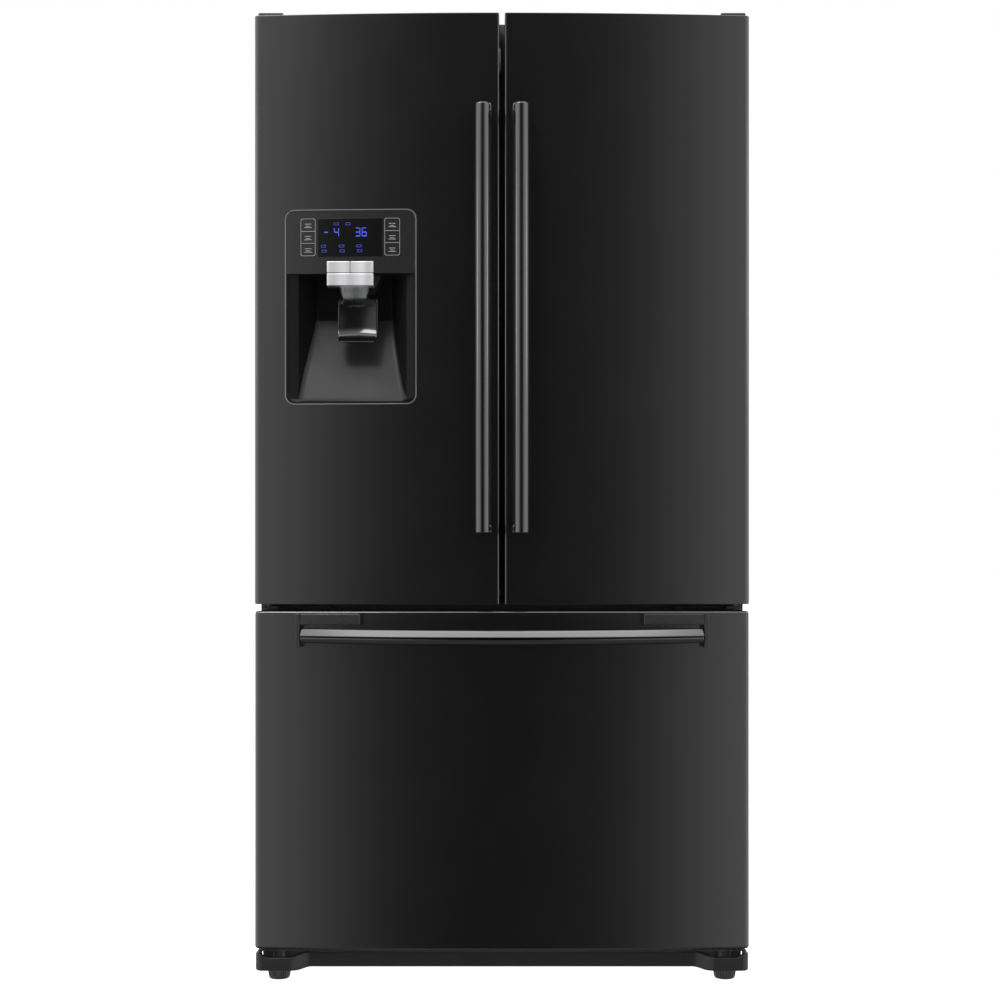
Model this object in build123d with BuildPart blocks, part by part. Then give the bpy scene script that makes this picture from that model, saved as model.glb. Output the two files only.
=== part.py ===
from build123d import *
from math import cos, radians, sin, sqrt
import os

os.makedirs("parts", exist_ok=True)

# French door refrigerator, millimetres. The front faces -Y, +X is to the viewer's right and +Z is up.
# The origin is on the floor, at the centre of the bounding box.

# Driving dimensions: overall
HALF_WIDTH = 454.0
HANDLE_FRONT = -447.0
BACK = 447.0
TOP = 1790.0

# The two doors and the drawer share one convex front, a single arc in plan
FRONT_CENTRE = -385.0
FRONT_CORNER = -368.0
FRONT_SAGITTA = FRONT_CORNER - FRONT_CENTRE
FRONT_RADIUS = (HALF_WIDTH**2 + FRONT_SAGITTA**2) / (2 * FRONT_SAGITTA)

# Cabinet
CABINET_FRONT = -283.0
CABINET_BACK = 445.0
CABINET_BOTTOM = 60.0
CABINET_TOP = 1765.0
SHEET = 1.2
LIP = 20.0
LINER_WALL = 2.0
LINER_HALF = 400.0
FLANGE_HALF = HALF_WIDTH - LIP - 0.2
FRIDGE_FLOOR = 726.0
FRIDGE_CEILING = 1715.0
FRIDGE_REAR = 385.0
FREEZER_FLOOR = 100.0
FREEZER_CEILING = 646.0
FREEZER_REAR = 380.0
FREEZER_STEP_REAR = 190.0
FREEZER_STEP_TOP = 350.0
MACHINE_FRONT = 250.0
MACHINE_TOP = 330.0
RAIL_BOTTOM = 650.0
RAIL_TOP = 712.0
RAIL_DEPTH = 40.0

# Doors and drawer
DOOR_BACK = -293.0
DOOR_TOP = 1778.0
DOOR_BOTTOM = 698.0
DOOR_INNER_EDGE = 5.0
DRAWER_TOP = 686.0
DRAWER_BOTTOM = 66.0
SKIN = 1.2
OUTER_EDGE_RADIUS = 7.5
GAP_EDGE_RADIUS = 2.0
DRAWER_EDGE_RADIUS = 5.0
CAP_DEPTH = 20.0
CAP_SKIRT = 40.0
CAP_PROUD = 0.6
GASKET_FRONT = DOOR_BACK
GASKET_BACK = CABINET_FRONT - 0.3
GASKET_WIDTH = 14.0
DYKE_BACK = -225.0
DYKE_WALL = 22.0
DYKE_OUTER = 392.0
DYKE_INNER = 46.0
DYKE_BOTTOM = 734.0
DYKE_TOP = 1707.0
LINER_FACE_BACK = -285.0

# Hinges
HINGE_X = 430.0
HINGE_Y = -330.0
PIN_RADIUS = 5.0
RUNNING_CLEARANCE = 0.05

# Flipper mullion on the left door
FLIPPER_AXIS_X = -38.0
FLIPPER_AXIS_Y = -270.0
FLIPPER_PIN_RADIUS = 1.5
FLIPPER_KNUCKLES = (800.0, 1200.0, 1600.0)
KNUCKLE_HEIGHT = 30.0
LUG_RADIUS = 3.5
LUG_HEIGHT = 6.0
LUG_GAP = 0.5

# Dispenser in the left door
BEZEL_LEFT = -397.6
BEZEL_RIGHT = -156.3
BEZEL_BOTTOM = 1063.6
BEZEL_TOP = 1420.0
BEZEL_RADIUS = 18.0
BEZEL_PROUD = 0.8
BEZEL_RING = 3.0
FASCIA_BOTTOM = 1309.0
FASCIA_THICKNESS = 3.4
DISPLAY_LEFT = -337.0
DISPLAY_RIGHT = -218.5
DISPLAY_BOTTOM = 1333.5
DISPLAY_TOP = 1403.5
DISPLAY_THICKNESS = 1.5
NOZZLE_X = -277.5
NOZZLE_HALF = 42.5
NOZZLE_FRONT = -381.0
NOZZLE_BOTTOM = 1280.0
NOZZLE_TOP = 1303.0
BUTTON_TOP = 1325.0
BUTTON_DEPTH = 12.0
CHUTE_X = -270.0
CHUTE_Y = -361.0
CHUTE_BOTTOM = 1259.0
PADDLE_X = -266.0
PADDLE_HALF = 37.0
PADDLE_AXIS_Y = -332.0
PADDLE_AXIS_Z = 1256.0
PADDLE_BOTTOM = 1176.0

# Handles
HANDLE_X = 35.0
HANDLE_WIDTH = 26.0
HANDLE_DEPTH = 20.0
HANDLE_BOW = 12.0
HANDLE_BOTTOM = 827.0
HANDLE_TOP = 1601.0
POST_HEIGHT = 16.0
POST_EXTRA = 2.7
DRAWER_HANDLE_HALF = 365.0
DRAWER_HANDLE_Z = 641.0
DRAWER_HANDLE_END_Y = -396.0
DRAWER_HANDLE_DROP = 2.4
BRACKET_INNER = 258.0
BRACKET_OUTER = 376.0
BRACKET_WALL = 8.0
BRACKET_BOTTOM = 620.0
HOOD_BOTTOM = 661.0
LEVER_PIN_RADIUS = 4.0

# Water inlet valve
VALVE_X = 405.0
VALVE_Y = 429.0

# Interior
SHELF_FRONT = -170.0
SHELF_REAR = 360.0
SHELF_INNER = 8.0
SHELF_OUTER = 392.0
RIGHT_SHELVES = (1150.0, 1340.0, 1530.0)
LEFT_SHELVES = (1150.0, 1340.0)
GLASS_THICKNESS = 4.0
FRAME_THICKNESS = 14.0
FRAME_BORDER = 12.0
CRISPER_COVER_Z = 1010.0
BIN_DEPTH = 88.0
BIN_WALL = 3.0
RIGHT_BINS = (770.0, 1020.0, 1300.0)
LEFT_BINS = (770.0, 905.0)
BIN_HEIGHTS = {770.0: 118.0, 905.0: 110.0, 1020.0: 110.0, 1300.0: 90.0}

# Telescopic rails of the freezer drawer
SLIDE_Z = 262.0
SLIDE_FRONT = -270.0
SLIDE_REAR = 175.0
OUTER_RAIL = (389.0, 399.0, 46.0)
MIDDLE_RAIL = (383.0, 388.7, 34.0)
INNER_RAIL = (376.5, 382.7, 24.0)

# Runners of the upper freezer tray
TRAY_RUNNER_FRONT = -240.0
TRAY_RUNNER_Z = 544.0

# Feet and rollers
FOOT_X = 416.0
FOOT_Y = -309.0
FOOT_RADIUS = 22.0
FOOT_HEIGHT = 27.0
FOOT_STEM_RADIUS = 5.0
ROLLER_X = 400.0
ROLLER_Y = 400.0
ROLLER_RADIUS = 20.0
ROLLER_HALF_WIDTH = 10.0
AXLE_RADIUS = 4.0
KICK_BOTTOM = 29.0
KICK_TOP = 57.0
KICK_FRONT = -350.0
BOSS_BOTTOM = 24.0
BOSS_FRONT = -365.0
BOSS_TOP = 49.0
KICK_WALL = 3.0
KICK_HALF = 352.0


def front_y(x, inset=0.0):
    """Depth of the common curved front at a given x, set back by inset."""
    return FRONT_CENTRE + FRONT_RADIUS - sqrt((FRONT_RADIUS - inset) ** 2 - x**2)


def block(x0, x1, y0, y1, z0, z1, mode=Mode.ADD):
    """A box between two opposite corners, added to the part being built."""
    with Locations(((x0 + x1) / 2, (y0 + y1) / 2, (z0 + z1) / 2)):
        Box(abs(x1 - x0), abs(y1 - y0), abs(z1 - z0), mode=mode)


def rod_x(x0, x1, y, z, radius, mode=Mode.ADD):
    """A cylinder along X."""
    with Locations(((x0 + x1) / 2, y, z)):
        Cylinder(radius, abs(x1 - x0), rotation=(0, 90, 0), mode=mode)


def rod_y(x, y0, y1, z, radius, mode=Mode.ADD):
    """A cylinder along Y."""
    with Locations((x, (y0 + y1) / 2, z)):
        Cylinder(radius, abs(y1 - y0), rotation=(90, 0, 0), mode=mode)


def rod_z(x, y, z0, z1, radius, mode=Mode.ADD):
    """A cylinder along Z."""
    with Locations((x, y, (z0 + z1) / 2)):
        Cylinder(radius, abs(z1 - z0), mode=mode)


def save(builder, name):
    """Label a finished sub-part and write it under its own name."""
    builder.part.label = name
    export_step(builder.part, f"parts/{name}.step")


def curved_slab(x0, x1, z0, z1, inset=0.0, back=DOOR_BACK, front_to=None):
    """A slab behind the curved front, set in by inset, back to a flat plane or to a second arc."""
    left = min(x0, x1)
    right = max(x0, x1)
    middle = (left + right) / 2
    with BuildPart() as slab:
        with BuildSketch(Plane.XY.offset(z0)):
            with BuildLine():
                start = (left, front_y(left, inset))
                stop = (right, front_y(right, inset))
                ThreePointArc(start, (middle, front_y(middle, inset)), stop)
                if front_to is None:
                    Polyline(stop, (right, back), (left, back), start)
                else:
                    rear_stop = (right, front_y(right, front_to))
                    rear_start = (left, front_y(left, front_to))
                    Line(stop, rear_stop)
                    ThreePointArc(rear_stop, (middle, front_y(middle, front_to)), rear_start)
                    Line(rear_start, start)
            make_face()
        extrude(amount=z1 - z0)
    return slab.part


def face_prism(x0, x1, z0, z1, radius, y_front=-430.0, y_back=-270.0):
    """A prism along Y with rounded corners in the front view."""
    with BuildPart() as prism:
        with BuildSketch(Plane.XZ.offset(-y_back)):
            with Locations(((x0 + x1) / 2, (z0 + z1) / 2)):
                RectangleRounded(abs(x1 - x0), abs(z1 - z0), radius)
        extrude(amount=y_back - y_front)
    return prism.part


def rounded_door_slab(side, z0, z1, inset, outer_radius, inner_radius):
    """One door's plan shape with its two front corners rounded."""
    blank = curved_slab(side * (DOOR_INNER_EDGE + inset), side * (HALF_WIDTH - inset), z0, z1, inset)
    with BuildPart() as slab:
        add(blank)
        front = slab.edges().filter_by(Axis.Z).sort_by(Axis.Y)[:2].sort_by(Axis.X)
        outer = front[0] if side < 0 else front[-1]
        inner = front[-1] if side < 0 else front[0]
        fillet(outer, outer_radius)
        fillet(inner, inner_radius)
    return slab.part


# ---------------------------------------------------------------- cabinet

# Cabinet wrap: two sides and the top folded from one steel sheet, with a narrow return at the front
with BuildPart() as cabinet_shell:
    block(-HALF_WIDTH, HALF_WIDTH, CABINET_FRONT, CABINET_BACK, CABINET_BOTTOM, CABINET_TOP)
    fillet(cabinet_shell.edges().filter_by(Axis.Y).group_by(Axis.Z)[-1], 4)
    block(
        -HALF_WIDTH + SHEET,
        HALF_WIDTH - SHEET,
        CABINET_FRONT + SHEET,
        CABINET_BACK + 1,
        CABINET_BOTTOM - 1,
        CABINET_TOP - SHEET,
        mode=Mode.SUBTRACT,
    )
    block(
        -HALF_WIDTH + LIP,
        HALF_WIDTH - LIP,
        CABINET_FRONT - 1,
        CABINET_FRONT + 2,
        CABINET_BOTTOM - 1,
        CABINET_TOP - LIP,
        mode=Mode.SUBTRACT,
    )
save(cabinet_shell, "cabinet_shell")

# Evaporator coils set in the rear foam wall: half width, depth range and height range
COILS = ((140.0, 388.5, 418.0, 1000.0, 1300.0), (300.0, 383.5, 413.0, 380.0, 560.0))

# Rear panel with raised stiffening beads
REAR_PANEL_HALF = HALF_WIDTH - 2
BEAD_COUNT = 6
BEAD_PITCH = 140.0
with BuildPart() as rear_panel:
    block(
        -REAR_PANEL_HALF,
        REAR_PANEL_HALF,
        CABINET_BACK - 1,
        CABINET_BACK,
        MACHINE_TOP + 2,
        CABINET_TOP - 2,
    )
    with BuildSketch(Plane.XZ.offset(-CABINET_BACK)):
        for bead in range(BEAD_COUNT):
            with Locations(((bead - (BEAD_COUNT - 1) / 2) * BEAD_PITCH, 1050)):
                SlotOverall(1180, 46, rotation=90)
    extrude(amount=-(BACK - CABINET_BACK), taper=20)
save(rear_panel, "rear_panel")

# Foam between the wrap and the two liners
FOAM_GAP = 0.1
with BuildPart() as cabinet_foam:
    block(
        -HALF_WIDTH + SHEET + FOAM_GAP,
        HALF_WIDTH - SHEET - FOAM_GAP,
        CABINET_FRONT + LINER_WALL + FOAM_GAP,
        CABINET_BACK - 1 - FOAM_GAP,
        CABINET_BOTTOM + 2,
        CABINET_TOP - SHEET - FOAM_GAP,
    )
    block(
        -HALF_WIDTH,
        HALF_WIDTH,
        MACHINE_FRONT,
        BACK,
        0,
        MACHINE_TOP,
        mode=Mode.SUBTRACT,
    )
    block(
        -LINER_HALF - LINER_WALL - FOAM_GAP,
        LINER_HALF + LINER_WALL + FOAM_GAP,
        CABINET_FRONT,
        FRIDGE_REAR + LINER_WALL + FOAM_GAP,
        FRIDGE_FLOOR - LINER_WALL - FOAM_GAP,
        FRIDGE_CEILING + LINER_WALL + FOAM_GAP,
        mode=Mode.SUBTRACT,
    )
    block(
        -LINER_HALF - LINER_WALL - FOAM_GAP,
        LINER_HALF + LINER_WALL + FOAM_GAP,
        CABINET_FRONT,
        FREEZER_STEP_REAR + LINER_WALL + FOAM_GAP,
        FREEZER_FLOOR - LINER_WALL - FOAM_GAP,
        FREEZER_CEILING + LINER_WALL + FOAM_GAP,
        mode=Mode.SUBTRACT,
    )
    block(
        -LINER_HALF - LINER_WALL - FOAM_GAP,
        LINER_HALF + LINER_WALL + FOAM_GAP,
        0,
        FREEZER_REAR + LINER_WALL + FOAM_GAP,
        FREEZER_STEP_TOP - LINER_WALL - FOAM_GAP,
        FREEZER_CEILING + LINER_WALL + FOAM_GAP,
        mode=Mode.SUBTRACT,
    )
    block(
        -HALF_WIDTH,
        HALF_WIDTH,
        CABINET_FRONT,
        CABINET_FRONT + RAIL_DEPTH + FOAM_GAP,
        RAIL_BOTTOM - FOAM_GAP,
        RAIL_TOP + FOAM_GAP,
        mode=Mode.SUBTRACT,
    )
    for half, y0, y1, z0, z1 in COILS:
        block(-half - 1, half + 1, y0 - 5, y1 + 1, z0 - 1, z1 + 1, mode=Mode.SUBTRACT)
save(cabinet_foam, "cabinet_foam")

# Fresh-food liner: a deep tub with a front flange and shelf ledges on its side walls
LEDGE_HEIGHT = 6.0
LEDGE_WIDTH = 5.0
with BuildPart() as fridge_liner:
    block(
        -LINER_HALF - LINER_WALL,
        LINER_HALF + LINER_WALL,
        CABINET_FRONT,
        FRIDGE_REAR + LINER_WALL,
        FRIDGE_FLOOR - LINER_WALL,
        FRIDGE_CEILING + LINER_WALL,
    )
    block(
        -FLANGE_HALF,
        FLANGE_HALF,
        CABINET_FRONT,
        CABINET_FRONT + LINER_WALL,
        RAIL_TOP + 0.2,
        CABINET_TOP - LIP - 0.2,
    )
    block(
        -LINER_HALF,
        LINER_HALF,
        CABINET_FRONT - 1,
        FRIDGE_REAR,
        FRIDGE_FLOOR,
        FRIDGE_CEILING,
        mode=Mode.SUBTRACT,
    )
    for level in RIGHT_SHELVES:
        block(
            LINER_HALF - LEDGE_WIDTH,
            LINER_HALF,
            SHELF_FRONT,
            FRIDGE_REAR,
            level - FRAME_THICKNESS / 2 - LEDGE_HEIGHT,
            level - FRAME_THICKNESS / 2,
        )
    for level in LEFT_SHELVES:
        block(
            -LINER_HALF,
            -LINER_HALF + LEDGE_WIDTH,
            SHELF_FRONT,
            FRIDGE_REAR,
            level - FRAME_THICKNESS / 2 - LEDGE_HEIGHT,
            level - FRAME_THICKNESS / 2,
        )
save(fridge_liner, "fridge_liner")

# Freezer liner: a tub whose rear floor steps up over the machine compartment
with BuildPart() as freezer_liner:
    with BuildSketch(Plane.YZ.offset(-LINER_HALF - LINER_WALL)):
        with BuildLine():
            Polyline(
                (CABINET_FRONT, FREEZER_FLOOR - LINER_WALL),
                (FREEZER_STEP_REAR + LINER_WALL, FREEZER_FLOOR - LINER_WALL),
                (FREEZER_STEP_REAR + LINER_WALL, FREEZER_STEP_TOP - LINER_WALL),
                (FREEZER_REAR + LINER_WALL, FREEZER_STEP_TOP - LINER_WALL),
                (FREEZER_REAR + LINER_WALL, FREEZER_CEILING + LINER_WALL),
                (CABINET_FRONT, FREEZER_CEILING + LINER_WALL),
                close=True,
            )
        make_face()
    extrude(amount=2 * (LINER_HALF + LINER_WALL))
    block(
        -FLANGE_HALF,
        FLANGE_HALF,
        CABINET_FRONT,
        CABINET_FRONT + LINER_WALL,
        CABINET_BOTTOM + 2,
        RAIL_BOTTOM - 0.2,
    )
    with BuildSketch(Plane.YZ.offset(-LINER_HALF)):
        with BuildLine():
            Polyline(
                (CABINET_FRONT - 1, FREEZER_FLOOR),
                (FREEZER_STEP_REAR, FREEZER_FLOOR),
                (FREEZER_STEP_REAR, FREEZER_STEP_TOP),
                (FREEZER_REAR, FREEZER_STEP_TOP),
                (FREEZER_REAR, FREEZER_CEILING),
                (CABINET_FRONT - 1, FREEZER_CEILING),
                close=True,
            )
        make_face()
    extrude(amount=2 * LINER_HALF, mode=Mode.SUBTRACT)
    for side in (-1, 1):
        block(
            side * (LINER_HALF - 6),
            side * LINER_HALF,
            TRAY_RUNNER_FRONT,
            300,
            TRAY_RUNNER_Z - 6,
            TRAY_RUNNER_Z - 0.4,
        )
save(freezer_liner, "freezer_liner")

# Steel cross rail between the two compartments, which both seals meet
with BuildPart() as front_mullion:
    block(-FLANGE_HALF, FLANGE_HALF, CABINET_FRONT, CABINET_FRONT + RAIL_DEPTH, RAIL_BOTTOM, RAIL_TOP)
save(front_mullion, "front_mullion")

# Top cover: a shallow hood over the wiring and the two top hinges
COVER_WALL = 2.5
COVER_REAR = -170.0
COVER_HALF = 450.0
LOBE_FRONT = -348.0
LOBE_INNER = 404.0
LOBE_BOTTOM = DOOR_TOP + 1.5
with BuildPart() as top_cover:
    block(-COVER_HALF, COVER_HALF, CABINET_FRONT, COVER_REAR, CABINET_TOP, TOP)
    for side in (-1, 1):
        block(side * LOBE_INNER, side * COVER_HALF, LOBE_FRONT, CABINET_FRONT, LOBE_BOTTOM, TOP)
    fillet(top_cover.edges().filter_by(Axis.Z), 3)
    fillet(top_cover.edges().group_by(Axis.Z)[-1], 2)
    block(
        -COVER_HALF + COVER_WALL,
        COVER_HALF - COVER_WALL,
        CABINET_FRONT + COVER_WALL,
        COVER_REAR - COVER_WALL,
        CABINET_TOP,
        TOP - COVER_WALL,
        mode=Mode.SUBTRACT,
    )
    for side in (-1, 1):
        block(
            side * (LOBE_INNER + COVER_WALL),
            side * (COVER_HALF - COVER_WALL),
            LOBE_FRONT + COVER_WALL,
            CABINET_FRONT + COVER_WALL + 1,
            LOBE_BOTTOM,
            TOP - COVER_WALL,
            mode=Mode.SUBTRACT,
        )
save(top_cover, "top_cover")

# Door hinges: plates at the top and in the gap above the drawer, each with a fixed pin
HINGE_PLATE = 4.0
TOP_PLATE_BOTTOM = LOBE_BOTTOM + 0.7
MIDDLE_PLATE_BOTTOM = DRAWER_TOP + 4
with BuildPart() as door_hinges:
    for side in (-1, 1):
        block(
            side * 411,
            side * 446,
            -344,
            -215,
            TOP_PLATE_BOTTOM,
            TOP_PLATE_BOTTOM + HINGE_PLATE,
        )
        block(side * 411, side * 446, -275, -215, CABINET_TOP, TOP_PLATE_BOTTOM)
        rod_z(side * HINGE_X, HINGE_Y, DOOR_TOP - 12, TOP_PLATE_BOTTOM, PIN_RADIUS)
        block(
            side * 415,
            side * 443,
            -345,
            CABINET_FRONT,
            MIDDLE_PLATE_BOTTOM,
            MIDDLE_PLATE_BOTTOM + HINGE_PLATE,
        )
        block(
            side * 322,
            side * 443,
            -303,
            CABINET_FRONT,
            MIDDLE_PLATE_BOTTOM,
            MIDDLE_PLATE_BOTTOM + HINGE_PLATE,
        )
        rod_z(side * HINGE_X, HINGE_Y, MIDDLE_PLATE_BOTTOM, DOOR_BOTTOM + 12, PIN_RADIUS)
save(door_hinges, "door_hinges")

# Base frame: floor plate, side rails, roller forks with their axles, and threaded foot sockets
PLATE_TOP = CABINET_BOTTOM - 1
PLATE_BOTTOM = PLATE_TOP - 2
FORK_GAP = 1.0
FORK_WALL = 3.0
BASE_RAIL_BOTTOM = 34.0
TUBE_NOTCH = 8.0
with BuildPart() as base_frame:
    block(-450, 450, -344, CABINET_BACK, PLATE_BOTTOM, PLATE_TOP)
    for side in (-1, 1):
        block(side * 440, side * 448, -300, 440, 30, PLATE_BOTTOM)
        for cheek in (-1, 1):
            inner_face = side * ROLLER_X + cheek * (ROLLER_HALF_WIDTH + FORK_GAP)
            block(inner_face, inner_face + cheek * FORK_WALL, ROLLER_Y - 15, ROLLER_Y + 15, 12, PLATE_BOTTOM)
        fork_half = ROLLER_HALF_WIDTH + FORK_GAP + FORK_WALL
        rod_x(side * ROLLER_X - fork_half, side * ROLLER_X + fork_half, ROLLER_Y, ROLLER_RADIUS, AXLE_RADIUS)
        rod_z(side * FOOT_X, FOOT_Y, FOOT_HEIGHT + 4, PLATE_BOTTOM, 12)
        rod_z(
            side * FOOT_X,
            FOOT_Y,
            FOOT_HEIGHT,
            PLATE_TOP + 1,
            FOOT_STEM_RADIUS + 0.3,
            mode=Mode.SUBTRACT,
        )
    block(-440, 440, -300, -292, BASE_RAIL_BOTTOM, PLATE_BOTTOM)
    block(-440, 440, 430, 438, BASE_RAIL_BOTTOM, PLATE_BOTTOM)
    block(
        VALVE_X - TUBE_NOTCH,
        VALVE_X + TUBE_NOTCH,
        VALVE_Y - TUBE_NOTCH,
        CABINET_BACK + 1,
        BASE_RAIL_BOTTOM - 1,
        PLATE_TOP + 1,
        mode=Mode.SUBTRACT,
    )
save(base_frame, "base_frame")

# Kick moulding: a thin wall with a bulging corner boss round each foot
BOSS_CORNER = 13.0
BOSS_FLAT_END = 394.0
SLOPE = 26.0
BEND_MIDDLE = (-(BOSS_FLAT_END + KICK_HALF) / 2, (BOSS_FRONT + KICK_FRONT) / 2)
with BuildPart() as kick_moulding:
    with BuildSketch(Plane.XY.offset(BOSS_BOTTOM)):
        with BuildLine():
            Line((0, -300), (-HALF_WIDTH, -300))
            Line((-HALF_WIDTH, -300), (-HALF_WIDTH, BOSS_FRONT + BOSS_CORNER))
            TangentArc(
                (-HALF_WIDTH, BOSS_FRONT + BOSS_CORNER),
                (-HALF_WIDTH + BOSS_CORNER, BOSS_FRONT),
                tangent=(0, -1),
            )
            Line((-HALF_WIDTH + BOSS_CORNER, BOSS_FRONT), (-BOSS_FLAT_END, BOSS_FRONT))
            TangentArc((-BOSS_FLAT_END, BOSS_FRONT), BEND_MIDDLE, tangent=(1, 0))
            TangentArc((-KICK_HALF, KICK_FRONT), BEND_MIDDLE, tangent=(-1, 0))
            Line((-KICK_HALF, KICK_FRONT), (0, KICK_FRONT))
            mirror(about=Plane.YZ)
        make_face()
        offset(amount=-KICK_WALL, mode=Mode.SUBTRACT)
    extrude(amount=KICK_TOP - BOSS_BOTTOM)
    with BuildSketch(Plane.XZ.offset(304)):
        with BuildLine():
            Polyline(
                (0, KICK_BOTTOM),
                (-KICK_HALF, KICK_BOTTOM),
                (-KICK_HALF - SLOPE, BOSS_BOTTOM),
                (-HALF_WIDTH, BOSS_BOTTOM),
                (-HALF_WIDTH, KICK_TOP),
                (-HALF_WIDTH + 7, KICK_TOP),
                (-HALF_WIDTH + 16, BOSS_TOP),
                (-BOSS_FLAT_END + 4, BOSS_TOP + 0.5),
                (-KICK_HALF - 12, KICK_TOP - 0.5),
                (-KICK_HALF, KICK_TOP),
                (0, KICK_TOP),
            )
            mirror(about=Plane.YZ)
        make_face()
    extrude(amount=80, mode=Mode.INTERSECT)
save(kick_moulding, "kick_moulding")


# Levelling feet: a ribbed cap on a plain stem that rides in the frame's socket
RIB_COUNT = 24


def ribbed_foot(side, name):
    """One foot, with vertical ribs round its cap."""
    with BuildPart() as foot:
        with BuildSketch(Plane.XY):
            Circle(17)
        extrude(amount=2)
        with BuildSketch(Plane.XY.offset(2)):
            Circle(19)
        extrude(amount=5)
        with BuildSketch(Plane.XY.offset(7)):
            Circle(FOOT_RADIUS - 1)
            with PolarLocations(FOOT_RADIUS - 1, RIB_COUNT):
                Circle(1)
        extrude(amount=FOOT_HEIGHT - 7)
        with BuildSketch(Plane.XY.offset(FOOT_HEIGHT)):
            Circle(FOOT_STEM_RADIUS)
        extrude(amount=PLATE_TOP - 3 - FOOT_HEIGHT)
    foot.part.position = (side * FOOT_X, FOOT_Y, 0)
    save(foot, name)


ribbed_foot(-1, "foot_left")
ribbed_foot(1, "foot_right")


# Rear rollers, one on each axle of the frame
def roller(side, name):
    """A plain roller with a slightly crowned tread and a running bore."""
    with BuildPart() as wheel:
        rod_x(
            side * ROLLER_X - ROLLER_HALF_WIDTH,
            side * ROLLER_X + ROLLER_HALF_WIDTH,
            ROLLER_Y,
            ROLLER_RADIUS,
            ROLLER_RADIUS,
        )
        fillet(wheel.edges().filter_by(GeomType.CIRCLE), 1.5)
        rod_x(
            side * ROLLER_X - ROLLER_HALF_WIDTH - 1,
            side * ROLLER_X + ROLLER_HALF_WIDTH + 1,
            ROLLER_Y,
            ROLLER_RADIUS,
            AXLE_RADIUS + RUNNING_CLEARANCE,
            mode=Mode.SUBTRACT,
        )
    save(wheel, name)


roller(-1, "roller_left")
roller(1, "roller_right")

# ---------------------------------------------------------------- machine compartment

# Hermetic compressor: a domed shell on four feet with a terminal box
COMPRESSOR_X = 270.0
COMPRESSOR_Y = 345.0
with BuildPart() as compressor:
    with Locations((COMPRESSOR_X, COMPRESSOR_Y, 148)):
        Cylinder(78, 124)
    fillet(compressor.edges().group_by(Axis.Z)[-1], 38)
    fillet(compressor.edges().group_by(Axis.Z)[0], 20)
    block(COMPRESSOR_X - 95, COMPRESSOR_X + 95, COMPRESSOR_Y - 55, COMPRESSOR_Y + 55, 84, 88)
    with Locations((COMPRESSOR_X, COMPRESSOR_Y, 72)):
        with GridLocations(160, 84, 2, 2):
            Cylinder(12, 2 * (72 - PLATE_TOP))
    block(COMPRESSOR_X - 108, COMPRESSOR_X - 70, COMPRESSOR_Y - 26, COMPRESSOR_Y + 26, 120, 180)
save(compressor, "compressor")

# Condenser: a finned block between two end plates, with the fan's ring and motor arm on its inner end
CONDENSER_OUTER = -420.0
CONDENSER_INNER = -190.0
FAN_X = -120.0
FAN_Y = 345.0
FAN_Z = 175.0
FIN_COUNT = 16
with BuildPart() as condenser:
    block(CONDENSER_OUTER, CONDENSER_OUTER + 4, 270, 420, PLATE_TOP, 290)
    block(CONDENSER_INNER - 4, CONDENSER_INNER, 270, 420, PLATE_TOP, 290)
    fin_pitch = (CONDENSER_INNER - CONDENSER_OUTER - 4) / FIN_COUNT
    for fin in range(1, FIN_COUNT):
        fin_x = CONDENSER_OUTER + 2 + fin * fin_pitch
        block(fin_x - 0.5, fin_x + 0.5, 276, 414, 75, 285)
    for row in range(5):
        for column in range(4):
            rod_x(
                CONDENSER_OUTER + 2,
                CONDENSER_INNER - 2,
                297 + column * 32,
                98 + row * 42,
                3.5,
            )
    rod_x(CONDENSER_INNER, FAN_X + 20, FAN_Y, FAN_Z, 92)
    rod_x(CONDENSER_INNER - 1, FAN_X + 21, FAN_Y, FAN_Z, 88, mode=Mode.SUBTRACT)
    block(CONDENSER_INNER - 4, CONDENSER_INNER, 270, 420, FAN_Z - 8, FAN_Z + 8)
    rod_x(CONDENSER_INNER - 4, FAN_X - 22, FAN_Y, FAN_Z, 22)
    rod_x(FAN_X - 22, FAN_X + 8, FAN_Y, FAN_Z, 3)
save(condenser, "condenser")

# Condenser fan: hub and pitched blades turning on the motor's shaft
BLADE_COUNT = 5
BLADE_PITCH = 28.0
with BuildPart() as condenser_fan:
    rod_x(FAN_X - 12, FAN_X + 12, FAN_Y, FAN_Z, 20)
    for blade in range(BLADE_COUNT):
        turn = radians(blade * 360 / BLADE_COUNT)
        pitch = radians(BLADE_PITCH)
        blade_plane = Plane(
            origin=(FAN_X, FAN_Y, FAN_Z),
            x_dir=(0, cos(turn), sin(turn)),
            z_dir=(cos(pitch), -sin(pitch) * sin(turn), sin(pitch) * cos(turn)),
        )
        with BuildSketch(blade_plane):
            with Locations((48, 0)):
                RectangleRounded(64, 40, 12)
        extrude(amount=1, both=True)
    rod_x(FAN_X - 40, FAN_X + 40, FAN_Y, FAN_Z, 3 + RUNNING_CLEARANCE, mode=Mode.SUBTRACT)
save(condenser_fan, "condenser_fan")

# Machine compartment cover: a perforated plate, notched for the water valve
COVER_SLOTS = 11
with BuildPart() as machine_cover:
    block(-450, 450, CABINET_BACK - 1.2, CABINET_BACK, CABINET_BOTTOM + 1, MACHINE_TOP - 2)
    block(VALVE_X - 32, VALVE_X + 32, 430, 450, CABINET_BOTTOM, 150, mode=Mode.SUBTRACT)
    with BuildSketch(Plane.XZ.offset(-CABINET_BACK - 1)):
        with Locations((-60, 235)):
            with GridLocations(58, 34, COVER_SLOTS, 4):
                SlotOverall(44, 10)
    extrude(amount=10, mode=Mode.SUBTRACT)
save(machine_cover, "machine_cover")

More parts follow.
